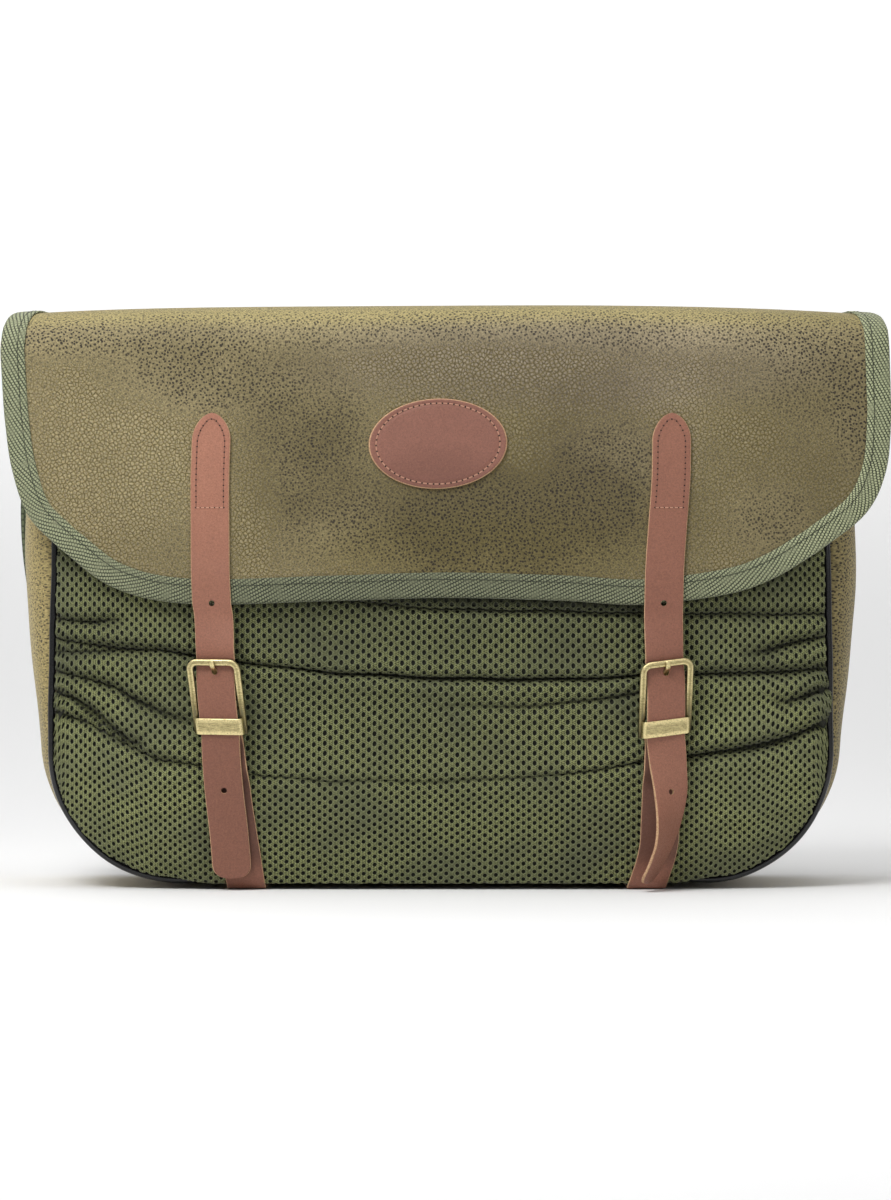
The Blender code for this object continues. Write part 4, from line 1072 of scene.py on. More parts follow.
def knitted_mesh():
    """Knit of the spacer mesh: fine slanting loops, with painted shade down in the holes and in the folds,
    and a painted highlight round the holes' rims.
    """
    made, tree = finish("knitted mesh", 0.85, specular=0.22, sheen=0.1)
    uv = flat_uv(tree)
    place = parts(tree, uv)
    u = times(tree, place[0], 2 * math.pi / (PITCH_ACROSS / 4))
    v = times(tree, place[1], 2 * math.pi / (PITCH_UP / 5))
    slant = times(tree, calc(tree, "SINE", times(tree, u, 0.5)), 2.4)
    loops = calc(tree, "SINE", calc(tree, "ADD", v, slant))
    height = times_plus(tree, loops, 0.6, times(tree, calc(tree, "SINE", u), 0.4))
    height = times_plus(tree, noise(tree, uv, 2.2, 2.0, 0.7), 1.2, height)
    height = times_plus(tree, minus(tree, noise(tree, uv, 0.8, 3.0, 0.75), 0.5), 2.4, height)
    colour = mixed(tree, ramp(tree, height, -0.5, 1.6), (0.027, 0.034, 0.010), (0.278, 0.292, 0.120))
    broad = ramp(tree, noise(tree, uv, 0.02, 3.0, 0.6), 0.35, 0.75)
    colour = mixed(tree, broad, colour, (0.105, 0.112, 0.056))
    # Painted shade and light of the mesh in patches
    colour = scaled(tree, colour, patched(tree, place, 1.0, MESH_SHADE_AND_LIGHT))
    sunk = stored(tree, "sunk")
    # Painted highlight round the rim of each hole
    rim = times(tree, ramp(tree, sunk, 0.10, 0.26), ramp(tree, sunk, 0.34, 0.28))
    colour = mixed(tree, times(tree, rim, 0.30), colour, (0.330, 0.365, 0.215))
    # Painted shade down in the holes
    colour = mixed(tree, ramp(tree, sunk, 0.28, 0.62), colour, (0.004, 0.005, 0.003))
    # Painted shade in the folds and under the flap's edge
    colour = mixed(tree, stored(tree, "shaded"), colour, (0.003, 0.004, 0.002))
    return finished(made, colour, height, 0.09)


def plain_finish(name, colour, roughness, **more):
    """Even finish with a light fleck in its colour."""
    made, tree = finish(name, roughness, **more)
    grain = noise(tree, solid_place(tree), 0.8, 3.0, 0.6)
    flecked = mixed(tree, ramp(tree, grain, 0.3, 0.7), toned(colour, 0.92), toned(colour, 1.08))
    return finished(made, flecked, grain, 0.03)


def lit_paper():
    """Backdrop of white paper. Where it rises behind the bag it is lit from behind as well."""
    made, tree = finish("paper backdrop", 0.9)
    shader_input(made, "Base Color").default_value = (0.84, 0.84, 0.84, 1.0)
    shader_input(made, "Emission Color").default_value = (1.0, 1.0, 1.0, 1.0)
    height = parts(tree, solid_place(tree))[2]
    glow = times(tree, ramp(tree, height, 0.0, 700.0), 0.75)
    tree.links.new(glow, shader_input(made, "Emission Strength"))
    return made


def make_finishes():
    """Finishes by the names that the pieces use."""
    GROUPS.update(pebbled=pebbled_group(), webbing=webbing_group(), leather=leather_group())
    return {
        "flap": pebbled_fabric("pebbled flap fabric", (0.300, 0.249, 0.131), (0.098, 0.078, 0.032), 0.50,
                               -0.05, FLAP_PITTED, 0.34, FLAP_TONE_AND_SHADE, FLAP_COOL),
        "panel": pebbled_fabric("pebbled panel fabric", (0.250, 0.205, 0.110), (0.110, 0.088, 0.047), 0.48,
                                0.1, (), 0.4),
        "gusset": pebbled_fabric("suede gusset fabric", (0.385, 0.307, 0.132), (0.150, 0.120, 0.050), 0.6,
                                 0.55, GUSSET_PITTED, 0.03, GUSSET_TONE_AND_SHADE),
        "binding": webbing("binding webbing", (0.345, 0.368, 0.216), (0.016, 0.022, 0.010), 1.8, 1.45, 0.45,
                           math.radians(27), BINDING_SHADE_AND_LIGHT),
        "shoulder": webbing("shoulder webbing", (0.120, 0.145, 0.080), (0.022, 0.030, 0.014), 1.9, 3.4, 0.5),
        "strap": grained_leather("strap leather", (0.375, 0.166, 0.105), (0.270, 0.106, 0.066)),
        "label": grained_leather("label leather", (0.278, 0.118, 0.082), (0.212, 0.085, 0.058)),
        "raw": raw_leather(),
        "brass": aged_brass(),
        "mesh": knitted_mesh(),
        "piping": plain_finish("glossy piping", (0.006, 0.006, 0.0065), 0.22, specular=0.4, coat=0.25),
        "thread_green": plain_finish("olive thread", (0.026, 0.032, 0.016), 0.7),
        "thread_brown": plain_finish("brown thread", (0.215, 0.090, 0.061), 0.6),
        "thread_pale": plain_finish("pale thread", (0.470, 0.250, 0.165), 0.6),
        # Needle holes as dark discs: painted shade of the holes
        "needle": plain_finish("needle holes", (0.020, 0.010, 0.008), 0.9),
        # Near-black sheet behind the mesh's holes: painted shade inside the pocket
        "lining": plain_finish("mesh lining", (0.016, 0.017, 0.010), 0.95),
        "backdrop": lit_paper(),
    }


FINISH = {}


# Pieces
def shown(name, data):
    """New object in the scene."""
    obj = bpy.data.objects.new(name, data)
    bpy.context.scene.collection.objects.link(obj)
    return obj


def lay_flat(mesh, uv):
    """Keep the place of each face corner on the flat pattern."""
    layer = mesh.uv_layers.new(name="flat")
    layer.data.foreach_set("uv", np.asarray(uv, np.float32).ravel())


def marked(obj, title, values):
    """Keep a value for each point of a piece, which its finish reads."""
    layer = obj.data.attributes.new(title, "FLOAT", "POINT")
    layer.data.foreach_set("value", np.asarray(values, np.float32))
    return obj


def piece(name, points, faces, finishes, slots=None, uv=None):
    """Object from points in millimetres; slots give each face's finish and uv each face corner's place."""
    mesh = bpy.data.meshes.new(name)
    mesh.from_pydata((np.asarray(points, float) * METRES).tolist(), [], faces)
    for key in finishes:
        mesh.materials.append(FINISH[key])
    if slots is not None:
        mesh.polygons.foreach_set("material_index", np.asarray(slots, np.int32))
    if uv is not None:
        lay_flat(mesh, uv)
    mesh.shade_smooth()
    return shown(name, mesh)


def grid_faces(rows, across):
    index = np.arange(rows * across).reshape(rows, across)
    quads = np.stack([index[:-1, :-1], index[1:, :-1], index[1:, 1:], index[:-1, 1:]], axis=-1)
    return quads.reshape(-1, 4)


def cloth(name, points, pattern, thickness, key):
    """Sheet of even thickness on both sides of a grid of points, with its flat pattern."""
    rows, across = points.shape[:2]
    faces = grid_faces(rows, across)
    obj = piece(name, points.reshape(-1, 3), faces.tolist(), [key], uv=pattern.reshape(-1, 2)[faces.ravel()])
    solid = obj.modifiers.new("thickness", "SOLIDIFY")
    solid.thickness = thickness * METRES
    solid.offset = 0.0
    return obj


def loft(name, sections, keys, slots=None, around=None, along=None):
    """Closed piece through sections; slots give the finish of each side of a section."""
    sections = np.asarray(sections, float)
    count, sides = sections.shape[:2]
    if around is None:
        around = ring_way(sections[count // 2])
    if along is None:
        along = lengths(sections.mean(axis=1))
    faces, uv, finish_of = [], [], []
    for i in range(count - 1):
        for k in range(sides):
            n = (k + 1) % sides
            faces.append((i * sides + k, i * sides + n, (i + 1) * sides + n, (i + 1) * sides + k))
            uv += [(along[i], around[k]), (along[i], around[k + 1]), (along[i + 1], around[k + 1]),
                   (along[i + 1], around[k])]
            finish_of.append(slots[k] if slots else 0)
    for row, order in ((0, range(sides)[::-1]), (count - 1, range(sides))):
        faces.append(tuple(row * sides + k for k in order))
        uv += [(along[row], around[k]) for k in order]
        finish_of.append(len(keys) - 1)
    obj = piece(name, sections.reshape(-1, 3), faces, keys, finish_of, uv)
    outward(obj)
    return obj


def outward(obj):
    """Turn all faces to point out of their closed shells."""
    bm = bmesh.new()
    bm.from_mesh(obj.data)
    bmesh.ops.recalc_face_normals(bm, faces=bm.faces)
    bm.to_mesh(obj.data)
    bm.free()


def plain_mesh(obj):
    """Keep what an object's modifiers make as its plain mesh."""
    bpy.context.view_layer.update()
    graph = bpy.context.evaluated_depsgraph_get()
    mesh = bpy.data.meshes.new_from_object(obj.evaluated_get(graph))
    obj.modifiers.clear()
    obj.data = mesh
    return obj


def joined(name, objects):
    """One object of several, each finish kept."""
    with bpy.context.temp_override(active_object=objects[0], selected_editable_objects=objects):
        bpy.ops.object.join()
    objects[0].name = name
    objects[0].data.name = name
    return objects[0]


def hand_over(obj, slot, *nodes):
    """Let a piece ride on the bag and stand for its nodes. Its slot is not used."""
    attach(obj, "root")
    if nodes:
        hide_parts(*nodes)


def stitch_tree():
    """Stitches along a line, with a needle hole at both ends of each, drawn as a dark disc of painted shade.
    """
    tree, given, out = new_group(
        "stitches", "GeometryNodeTree",
        [("Line", "Geometry", None), ("Pitch", "Float", 0.003), ("Thread", "Float", 0.0003),
         ("Share", "Float", 0.8), ("Needle", "Float", 0.0004), ("Thread Finish", "Material", None),
         ("Needle Finish", "Material", None)],
        ["Geometry"], "Geometry")
    curve = first(tree, "GeometryNodeMeshToCurve", {0: given["Line"]})
    half = times(tree, given["Pitch"], 0.5)
    whole = first(tree, "GeometryNodeCurveLength", {0: curve})
    trimmed = add(tree, "GeometryNodeTrimCurve", {"Curve": curve}, mode="LENGTH")
    by_length = {socket.identifier: socket for socket in trimmed.inputs}
    tree.links.new(half, by_length["Start_001"])
    tree.links.new(minus(tree, whole, half), by_length["End_001"])

    def balls(line, rings, size, axis, facing, key):
        """Balls a pitch apart along a line, with an axis turned to a direction, in a finish."""
        spots = add(tree, "GeometryNodeCurveToPoints", {"Curve": line, "Length": given["Pitch"]},
                    mode="LENGTH").outputs
        facing = spots["Tangent"] if facing is None else facing
        turn = first(tree, "FunctionNodeAlignRotationToVector", {"Vector": facing}, axis=axis)
        ball = first(tree, "GeometryNodeMeshUVSphere", {"Segments": 8, "Rings": rings, "Radius": 1.0})
        values = {"Points": spots["Points"], "Instance": ball, "Rotation": turn, "Scale": xyz(tree, *size)}
        made = first(tree, "GeometryNodeInstanceOnPoints", values)
        made = first(tree, "GeometryNodeRealizeInstances", {0: made})
        return first(tree, "GeometryNodeSetMaterial", {"Geometry": made, "Material": given[key]})

    thread, needle = given["Thread"], given["Needle"]
    size = (times(tree, half, given["Share"]), thread, thread)
    sewn = balls(trimmed.outputs[0], 6, size, "X", None, "Thread Finish")
    facing = first(tree, "GeometryNodeInputNamedAttribute", {"Name": "out"}, data_type="FLOAT_VECTOR")
    size = (needle, needle, times(tree, needle, 0.3))
    holes = balls(curve, 4, size, "Z", facing, "Needle Finish")
    both = add(tree, "GeometryNodeJoinGeometry", {0: sewn})
    tree.links.new(holes, both.inputs[0])
    return give(tree, out, Geometry=both.outputs[0])


def perforation_tree():
    """Flat lattice of staggered holes: one tile with a hole, repeated and merged."""
    tree, given, out = new_group(
        "perforated lattice", "GeometryNodeTree",
        [("Geometry", "Geometry", None), ("Pitch Across", "Float", 0.0058), ("Pitch Up", "Float", 0.0052),
         ("Hole Wide", "Float", 0.002), ("Hole High", "Float", 0.0027), ("Rim Drop", "Float", 0.0003),
         ("Deep", "Float", 0.0015), ("Columns", "Int", 70), ("Rows", "Int", 70),
         ("Finish", "Material", None)],
        ["Geometry"], "Geometry")
    tile = first(tree, "GeometryNodeMeshGrid",
                 {"Size X": 1.0, "Size Y": 1.0, "Vertices X": 9, "Vertices Y": 3})
    flat = parts(tree, first(tree, "GeometryNodeInputPosition"))
    angle = times_plus(tree, flat[0], 2 * math.pi, math.pi)
    ring = times_plus(tree, flat[1], 2.0, 1.0)
    cosine, sine = calc(tree, "COSINE", angle), calc(tree, "SINE", angle)
    spread = calc(tree, "ADD", calc(tree, "ABSOLUTE", cosine), calc(tree, "ABSOLUTE", sine))

    def ringed(wide, high, down=None, shrink=0.5):
        """Oval of a hole at a depth, or the tile's outer diamond."""
        x = times(tree, times(tree, wide, shrink), cosine)
        y = times(tree, times(tree, high, shrink), sine)
        if down is None:
            return xyz(tree, calc(tree, "DIVIDE", x, spread), calc(tree, "DIVIDE", y, spread))
        return xyz(tree, x, y, times(tree, down, -1.0))

    def blended(factor, a, b):
        return add(tree, "ShaderNodeMix", {0: factor, 4: a, 5: b}, data_type="VECTOR").outputs[1]

    across, up = given["Pitch Across"], times(tree, given["Pitch Up"], 0.5)
    wide, high = given["Hole Wide"], given["Hole High"]
    rim, floor = ringed(wide, high, given["Rim Drop"]), ringed(wide, high, given["Deep"], 0.44)
    spot = blended(calc(tree, "MINIMUM", ring, 1.0), ringed(across, given["Pitch Up"]), rim)
    spot = blended(calc(tree, "MAXIMUM", minus(tree, ring, 1.0), 0.0), spot, floor)
    tile = first(tree, "GeometryNodeSetPosition", {"Geometry": tile, "Position": spot})
    tile = first(tree, "GeometryNodeMergeByDistance", {"Geometry": tile, "Distance": 1e-6})
    columns, rows = given["Columns"], given["Rows"]
    long = times(tree, across, minus(tree, columns, 1.0))
    tall = times(tree, up, minus(tree, rows, 1.0))
    lattice = first(tree, "GeometryNodeMeshGrid",
                    {"Size X": long, "Size Y": tall, "Vertices X": columns, "Vertices Y": rows})
    low = times_plus(tree, tall, 0.5, parts(tree, first(tree, "GeometryNodeInputPosition"))[1])
    odd = calc(tree, "MODULO", calc(tree, "ROUND", calc(tree, "DIVIDE", low, up)), 2.0)
    offset = xyz(tree, times(tree, times(tree, odd, across), 0.5))
    moved = first(tree, "GeometryNodeSetPosition", {"Geometry": lattice, "Offset": offset})
    tiles = first(tree, "GeometryNodeInstanceOnPoints", {"Points": moved, "Instance": tile})
    tiles = first(tree, "GeometryNodeRealizeInstances", {0: tiles})
    tiles = first(tree, "GeometryNodeMergeByDistance", {"Geometry": tiles, "Distance": 2e-5})
    tiles = first(tree, "GeometryNodeSetMaterial", {"Geometry": tiles, "Material": given["Finish"]})
    return give(tree, out, Geometry=tiles)


TREES = {}


def run_tree(obj, name, values):
    """Keep what a geometry tree makes of an object. Its inputs are set by their sockets' identifiers."""
    modifier = obj.modifiers.new(name, "NODES")
    modifier.node_group = TREES[name]
    for item in modifier.node_group.interface.items_tree:
        if item.in_out == "INPUT" and item.name in values:
            modifier[item.identifier] = values[item.name]
    return plain_mesh(obj)


def stitches(name, line, out, sizes, key):
    """Row of stitches along a line of points, with the directions out of what it is sewn into."""
    pitch, thread, needle = sizes
    line = np.asarray(line, float)
    mesh = bpy.data.meshes.new(name)
    mesh.from_pydata((line * METRES).tolist(), [(k, k + 1) for k in range(len(line) - 1)], [])
    facing = mesh.attributes.new("out", "FLOAT_VECTOR", "POINT")
    facing.data.foreach_set("vector", np.asarray(out, np.float32).ravel())
    way = lengths(line)[-1]
    pitch = way / max(round(way / pitch), 1)
    return run_tree(shown(name, mesh), "stitches", {
        "Pitch": pitch * METRES * 0.9999, "Thread": thread * METRES, "Share": 0.86, "Needle": needle * METRES,
        "Thread Finish": FINISH[key], "Needle Finish": FINISH["needle"]})


def perforated_face(gathered):
    """Lattice of holes laid over the gathered surface and cut off at the seam."""
    rows = int((PERFORATED_TOP - gathered.v[0]) / (PITCH_UP / 2)) + 2
    columns = int((gathered.u[-1] - gathered.u[0] - 6.0) / PITCH_ACROSS) + 1
    face = run_tree(piece("mesh_pocket_face", [(0, 0, 0)], [], ["mesh"]), "perforations", {
        "Pitch Across": PITCH_ACROSS * METRES, "Pitch Up": PITCH_UP * METRES, "Hole Wide": HOLE_WIDE * METRES,
        "Hole High": HOLE_HIGH * METRES, "Rim Drop": RIM_DROP * METRES, "Deep": HOLE_DEEP * METRES,
        "Columns": columns, "Rows": rows, "Finish": FINISH["mesh"]})
    mesh = face.data
    flat = np.zeros(len(mesh.vertices) * 3)
    mesh.vertices.foreach_get("co", flat)
    u, v, lift = flat.reshape(-1, 3).T / METRES
    v = np.minimum(v + PERFORATED_TOP - (rows - 1) * PITCH_UP / 4, PERFORATED_TOP)
    x = gathered.across(u)
    spot, outside = gathered.place(x, v, MESH_INSET)
    outside |= v >= PERFORATED_TOP
    out = gathered.turned(x, v, MESH_INSET)
    marked(face, "sunk", -lift / HOLE_DEEP)
    # Painted shade of the folds and of the shadow that the flap throws on the mesh
    marked(face, "shaded", np.maximum(folds(spot[:, 0], spot[:, 2])[1], flap_shadow(spot[:, 0], spot[:, 2])))
    spot = spot + out * (POCKET_THICK / 2 + lift[:, None])
    mesh.vertices.foreach_set("co", (spot * METRES).ravel())
    order = np.zeros(len(mesh.loops), np.int32)
    mesh.loops.foreach_get("vertex_index", order)
    for layer in list(mesh.uv_layers):
        mesh.uv_layers.remove(layer)
    lay_flat(mesh, np.stack([u, v], axis=1)[order])
    bm = bmesh.new()
    bm.from_mesh(mesh)
    bm.verts.ensure_lookup_table()
    gone = [f for f in bm.faces if all(outside[vert.index] for vert in f.verts)]
    bmesh.ops.delete(bm, geom=gone, context="FACES")
    if sum(1 for f in bm.faces if f.normal.y > 0) > len(bm.faces) / 2:
        bmesh.ops.reverse_faces(bm, faces=bm.faces)
    bm.to_mesh(mesh)
    bm.free()
    mesh.shade_smooth()
    return face


def plain_layer(gathered, name, low, high, lift, thickness, key):
    """Layer without holes along the gathered surface, between two ways of its pattern."""
    ways = np.linspace(low, high, max(int((high - low) / 2.6), 8))
    share = np.linspace(0, 1, 90)
    points = []
    for way in ways:
        level = np.full(90, way)
        reach = seam_half(gathered.plain(np.full(90, BODY_X), level), MESH_INSET)
        x = BODY_X - reach + 2 * reach * share
        points.append(gathered.place(x, level, MESH_INSET)[0] + gathered.turned(x, level, MESH_INSET) * lift)
    points = np.array(points)
    pattern = np.stack([points[:, :, 0], np.repeat(ways[:, None], 90, axis=1)], axis=-1)
    return cloth(name, points, pattern, thickness, key)


def make_mesh_pocket():
    """Perforated face laid over the gathered surface, with a plain near-black lining behind its holes as
    painted shade.
    """
    gathered = GatheredMesh()
    face = perforated_face(gathered)
    lining = plain_layer(gathered, "mesh_pocket_lining", gathered.v[0], PERFORATED_TOP,
                         POCKET_THICK / 2 - HOLE_DEEP - 0.25, 0.4, "lining")
    upper = plain_layer(gathered, "mesh_pocket_top", PERFORATED_TOP - 0.5, gathered.flat.max(), 0.1,
                        POCKET_THICK * 0.9, "mesh")
    hand_over(face, "mesh_fabric", "mesh_pocket")
    hand_over(lining, "mesh_fabric")
    hand_over(upper, "mesh_fabric")


def on_flap(flat, off):
    """Points off the flap's middle for places of its pattern, and the directions out of its face."""
    out = flap_turned(flat[:, 0], flat[:, 1])
    return flap_point(flat[:, 0], flat[:, 1]) + out * off, out


def make_binding():
    """Webbing folded over the flap's free edge, and the stitches on both of its sides."""
    left, base, right = flap_edge()
    sides = []
    for k in (1, 2):
        ways = np.array([[row[k], -row[0]] for row in FLAP_BACK_EDGE])
        spans = [even(ways[a:a + 2], np.linspace(0, 1, 12))[:-1] for a in range(len(ways) - 1)]
        sides.append(np.vstack(spans))
    edge = np.vstack([sides[0], left, base[1:], right[-2::-1], sides[1][::-1]])
    way = lengths(flap_point(edge[:, 0], edge[:, 1]))
    wanted = np.linspace(0, way[-1], 420)
    edge = at_way(edge, way, wanted)
    into = inward(edge)
    face = FLAP_THICK / 2 + 0.1
    thick = BINDING_THICK + BINDING_CLEAR - 0.1
    outer = face + thick
    # The section as reach into the flap and distance off its middle: front side, round edge, back side
    section = [(BINDING_WIDE, face + 0.05), (BINDING_WIDE + 0.1, face + 0.6 * thick),
               (BINDING_WIDE - 0.35, outer)]
    section += [(reach, outer + 0.06) for reach in (10.5, 8.0, 5.5, 3.5)]
    for k in range(9):
        angle = math.pi * (0.5 - k / 8)
        section.append((BINDING_ROUND * (1 - math.cos(angle)), outer * math.sin(angle)))
    section += [(reach, -outer - 0.06) for reach in (3.5, 8.0)]
    section += [(BINDING_WIDE - 0.35, -outer), (BINDING_WIDE + 0.1, -face - 0.6 * thick),
                (BINDING_WIDE, -face - 0.05), (1.0, -face), (0.7, 0.0), (1.0, face)]
    rings = np.stack([on_flap(edge + into * reach, off)[0] for reach, off in section], axis=1)
    binding = loft("flap_binding_tape", rings, ["binding"], around=ring_way(section), along=wanted)
    rows = []
    for name, sign in (("binding_stitches", 1), ("binding_stitches_under", -1)):
        spots, out = on_flap(edge + into * (BINDING_WIDE - BINDING_STITCH_IN), sign * (outer + 0.05))
        rows.append(stitches(name, spots, sign * out, BINDING_STITCH, "thread_green"))
    sewn = joined("binding_stitches", rows)
    hand_over(binding, "webbing", "flap_binding")
    hand_over(sewn, "webbing")
    return binding, sewn


def make_flap():
    """Cloth of the flap with its binding, and the seam along the back."""
    pattern = flap_pattern(FLAP_INSET, 150, (4, 14, 26, 5, 5, 7), 60)
    flap = cloth("flap_cloth", flap_point(pattern[:, :, 0], pattern[:, :, 1]), pattern, FLAP_THICK, "flap")
    hand_over(flap, "flap_fabric", "flap")
    binding, sewn = make_binding()
    rows = []
    for from_edge in (3.5, 8.0):
        x = np.linspace(BODY_X - BACK_SEAM_HALF, BODY_X + BACK_SEAM_HALF, 120)
        flat = np.stack([x, np.full(120, from_edge - FLAP_BACK_EDGE[0][0])], axis=1)
        spots, out = on_flap(flat, FLAP_THICK / 2 + 0.12)
        rows.append(stitches("back_seam", spots, out, BACK_SEAM_STITCH, "thread_green"))
    hand_over(joined("flap_back_seam_stitches", rows), "webbing")


def label_ring(share, lift, turn):
    """Points over the flap at a share of the label's half-sizes, and the directions out of them."""
    a = share * np.cos(turn) * LABEL_WIDE / 2
    b = share * np.sin(turn) * LABEL_HIGH / 2
    x = LABEL_X + a * math.cos(LABEL_TURN) - b * math.sin(LABEL_TURN)
    drop = FLAP_FOLD_Z - LABEL_Z - (a * math.sin(LABEL_TURN) + b * math.cos(LABEL_TURN))
    return on_flap(np.stack([x, drop], axis=1), lift)


def make_label():
    """Oval patch, a little domed: a pressed stitching line, and a rounded edge of raw leather."""
    base = FLAP_THICK / 2 + 0.12
    top = FLAP_THICK / 2 + CLEAR + LABEL_THICK
    # Share of the half-sizes, height over the flap
    domed_shares = (0.12, 0.25, 0.4, 0.55, 0.68, 0.77, 0.82)
    profile = [(share, top + LABEL_DOME * (1 - share ** 2)) for share in domed_shares]
    profile += [(0.85, top - 0.02), (0.872, top - 0.22), (LABEL_SEWN, top - 0.30), (0.914, top - 0.20),
                (0.935, top - 0.03), (0.96, top), (0.981, top - 0.12), (0.99, top - 0.35), (1.0, top - 0.8),
                (1.0, base + 0.3), (0.995, base)]
    turn = circle(112)
    spokes = len(turn)
    middle, underside = label_ring(0.0, top + LABEL_DOME, turn[:1])[0], label_ring(0.0, base, turn[:1])[0]
    points = np.vstack([middle, *(label_ring(share, lift, turn)[0] for share, lift in profile), underside])
    faces, slots = [], []
    last = len(points) - 1
    for k in range(spokes):
        n = (k + 1) % spokes
        faces.append((0, 1 + k, 1 + n))
        slots.append(0)
        for ring in range(len(profile) - 1):
            a, b = 1 + ring * spokes, 1 + (ring + 1) * spokes
            faces.append((a + k, b + k, b + n, a + n))
            slots.append(1 if profile[ring][0] >= 0.98 else 0)
        a = 1 + (len(profile) - 1) * spokes
        faces.append((a + k, last, a + n))
        slots.append(1)
    patch = piece("label_oval", points, faces, ["label", "raw"], slots)
    outward(patch)
    sewn = stitches("label_stitches", *label_ring(LABEL_SEWN, top - 0.24, np.linspace(0, 2 * math.pi, 220)),
                    LABEL_STITCH, "thread_pale")
    hand_over(patch, "leather", "label_patch")
    hand_over(sewn, "leather")


def strap_piece(name, strap, holes):
    """Leather strap with rounded arrises and raw cut sides; holes are (middle, out, up, radius, long)."""
    half = strap.half(strap.ways)
    middle, across, out = strap.middle(strap.ways), strap.across(strap.ways), strap.out(strap.ways)
    rings = []
    for share, inset, level in STRAP_PROFILE:
        off = share * half + np.clip(inset, -half * 0.8, half * 0.8)
        rings.append(middle + across * off[:, None] + out * (STRAP_THICK / 2 * level))
    slots = [1 if k in STRAP_RAW_SIDES else 0 for k in range(len(STRAP_PROFILE))]
    obj = loft(name, np.stack(rings, axis=1), ["strap", "raw"], slots)
    if holes:
        punch_through(obj, holes)
    return obj


def punch_through(obj, holes):
    """Cut round or long holes through a strap."""
    turn = circle(20)
    cutters = []
    for middle, out, up, radius, long in holes:
        across = unit(np.cross(up, out))
        rim = across * (radius * np.cos(turn))[:, None] + up * (long * np.sin(turn))[:, None]
        cutters.append(loft("punch", [middle + rim - out * 3.0, middle + rim + out * 3.0], ["raw"]))
    punch = joined("punch", cutters)
    cut = obj.modifiers.new("holes", "BOOLEAN")
    cut.operation = "DIFFERENCE"
    cut.object = punch
    plain_mesh(obj)
    bpy.data.objects.remove(punch)
    obj.data.shade_smooth()
    obj.data.set_sharp_from_angle(angle=math.radians(40))


def billet_stations(side, seat):
    """Places and directions across of a billet strap: on the flap, through the buckle, and hanging free."""
    on_cloth = FLAP_THICK / 2 + CLEAR + STRAP_THICK / 2
    on_binding = on_cloth + BINDING_CLEAR + BINDING_THICK
    stations = []
    for z in BILLET_Z:
        x = strap_x(side, z)
        off = on_cloth + (on_binding - on_cloth) * float(smoothstep((BINDING_TOP_Z - z) / 12))
        slope = float(flap_out(x + 8, z) - flap_out(x - 8, z)) / 16
        stations.append((np.array([x, float(flap_out(x, z)) - off, z]), unit(np.array([1.0, slope, 0.0]))))
    for height, out, aside in BILLET_BUCKLED:
        stations.append((seat.at(aside * BILLET_ASIDE[side], height, out), seat.across))
    for z, x, twist, off in TAIL_LINE[side]:
        turn = math.radians(twist)
        y = float(pocket_face(x, z)) - off
        stations.append((np.array([x, y, z]), np.array([math.cos(turn), math.sin(turn), 0.0])))
    return stations


def make_billet(side, seat):
    """Strap sewn to the flap, through the buckle, with a free tail."""
    strap = Strap(billet_stations(side, seat), BILLET_TIPS)
    holes = []
    for z in PUNCHED_Z:
        way = strap.at_height(z)
        up = unit(strap.middle(way - 1)[0] - strap.middle(way + 1)[0])
        holes.append((strap.middle(way)[0], strap.out(way)[0], up, PUNCHED_R, PUNCHED_R))
    holes.append((seat.at(0, PRONG_HOLE_H, PRONG_HOLE_OUT), seat.out, seat.up, HOLE_R, PRONG_HOLE_LONG))
    obj = strap_piece("billet_leather_" + side, strap, holes)
    hand_over(obj, "leather", "billet_strap_" + side)

    # Stitches along both sides of the pointed end, and a row across the strap below them
    low = strap.at_height(BILLET_SEWN_Z)
    ways = np.concatenate([np.linspace(low, 4.0, 60), np.linspace(3.9, 3.3, 6)])
    offs = np.maximum(strap.half(np.maximum(ways - 1.6, 0.05)) - 2.9, 0.0)
    offs[-1] = 0.0
    ways, offs = np.concatenate([ways, ways[-2::-1]]), np.concatenate([-offs, offs[-2::-1]])
    arch = stitches("billet_stitches", *strap.on_face(ways, offs, 0.08), BILLET_STITCH, "thread_brown")
    across = np.linspace(-7.4, 7.4, 12)
    spots, out = strap.on_face(np.full(12, low), across, 0.1)
    row = stitches("billet_row", spots, out, BILLET_ROW_STITCH, "thread_pale")
    hand_over(joined("billet_stitches_" + side, [arch, row]), "leather")


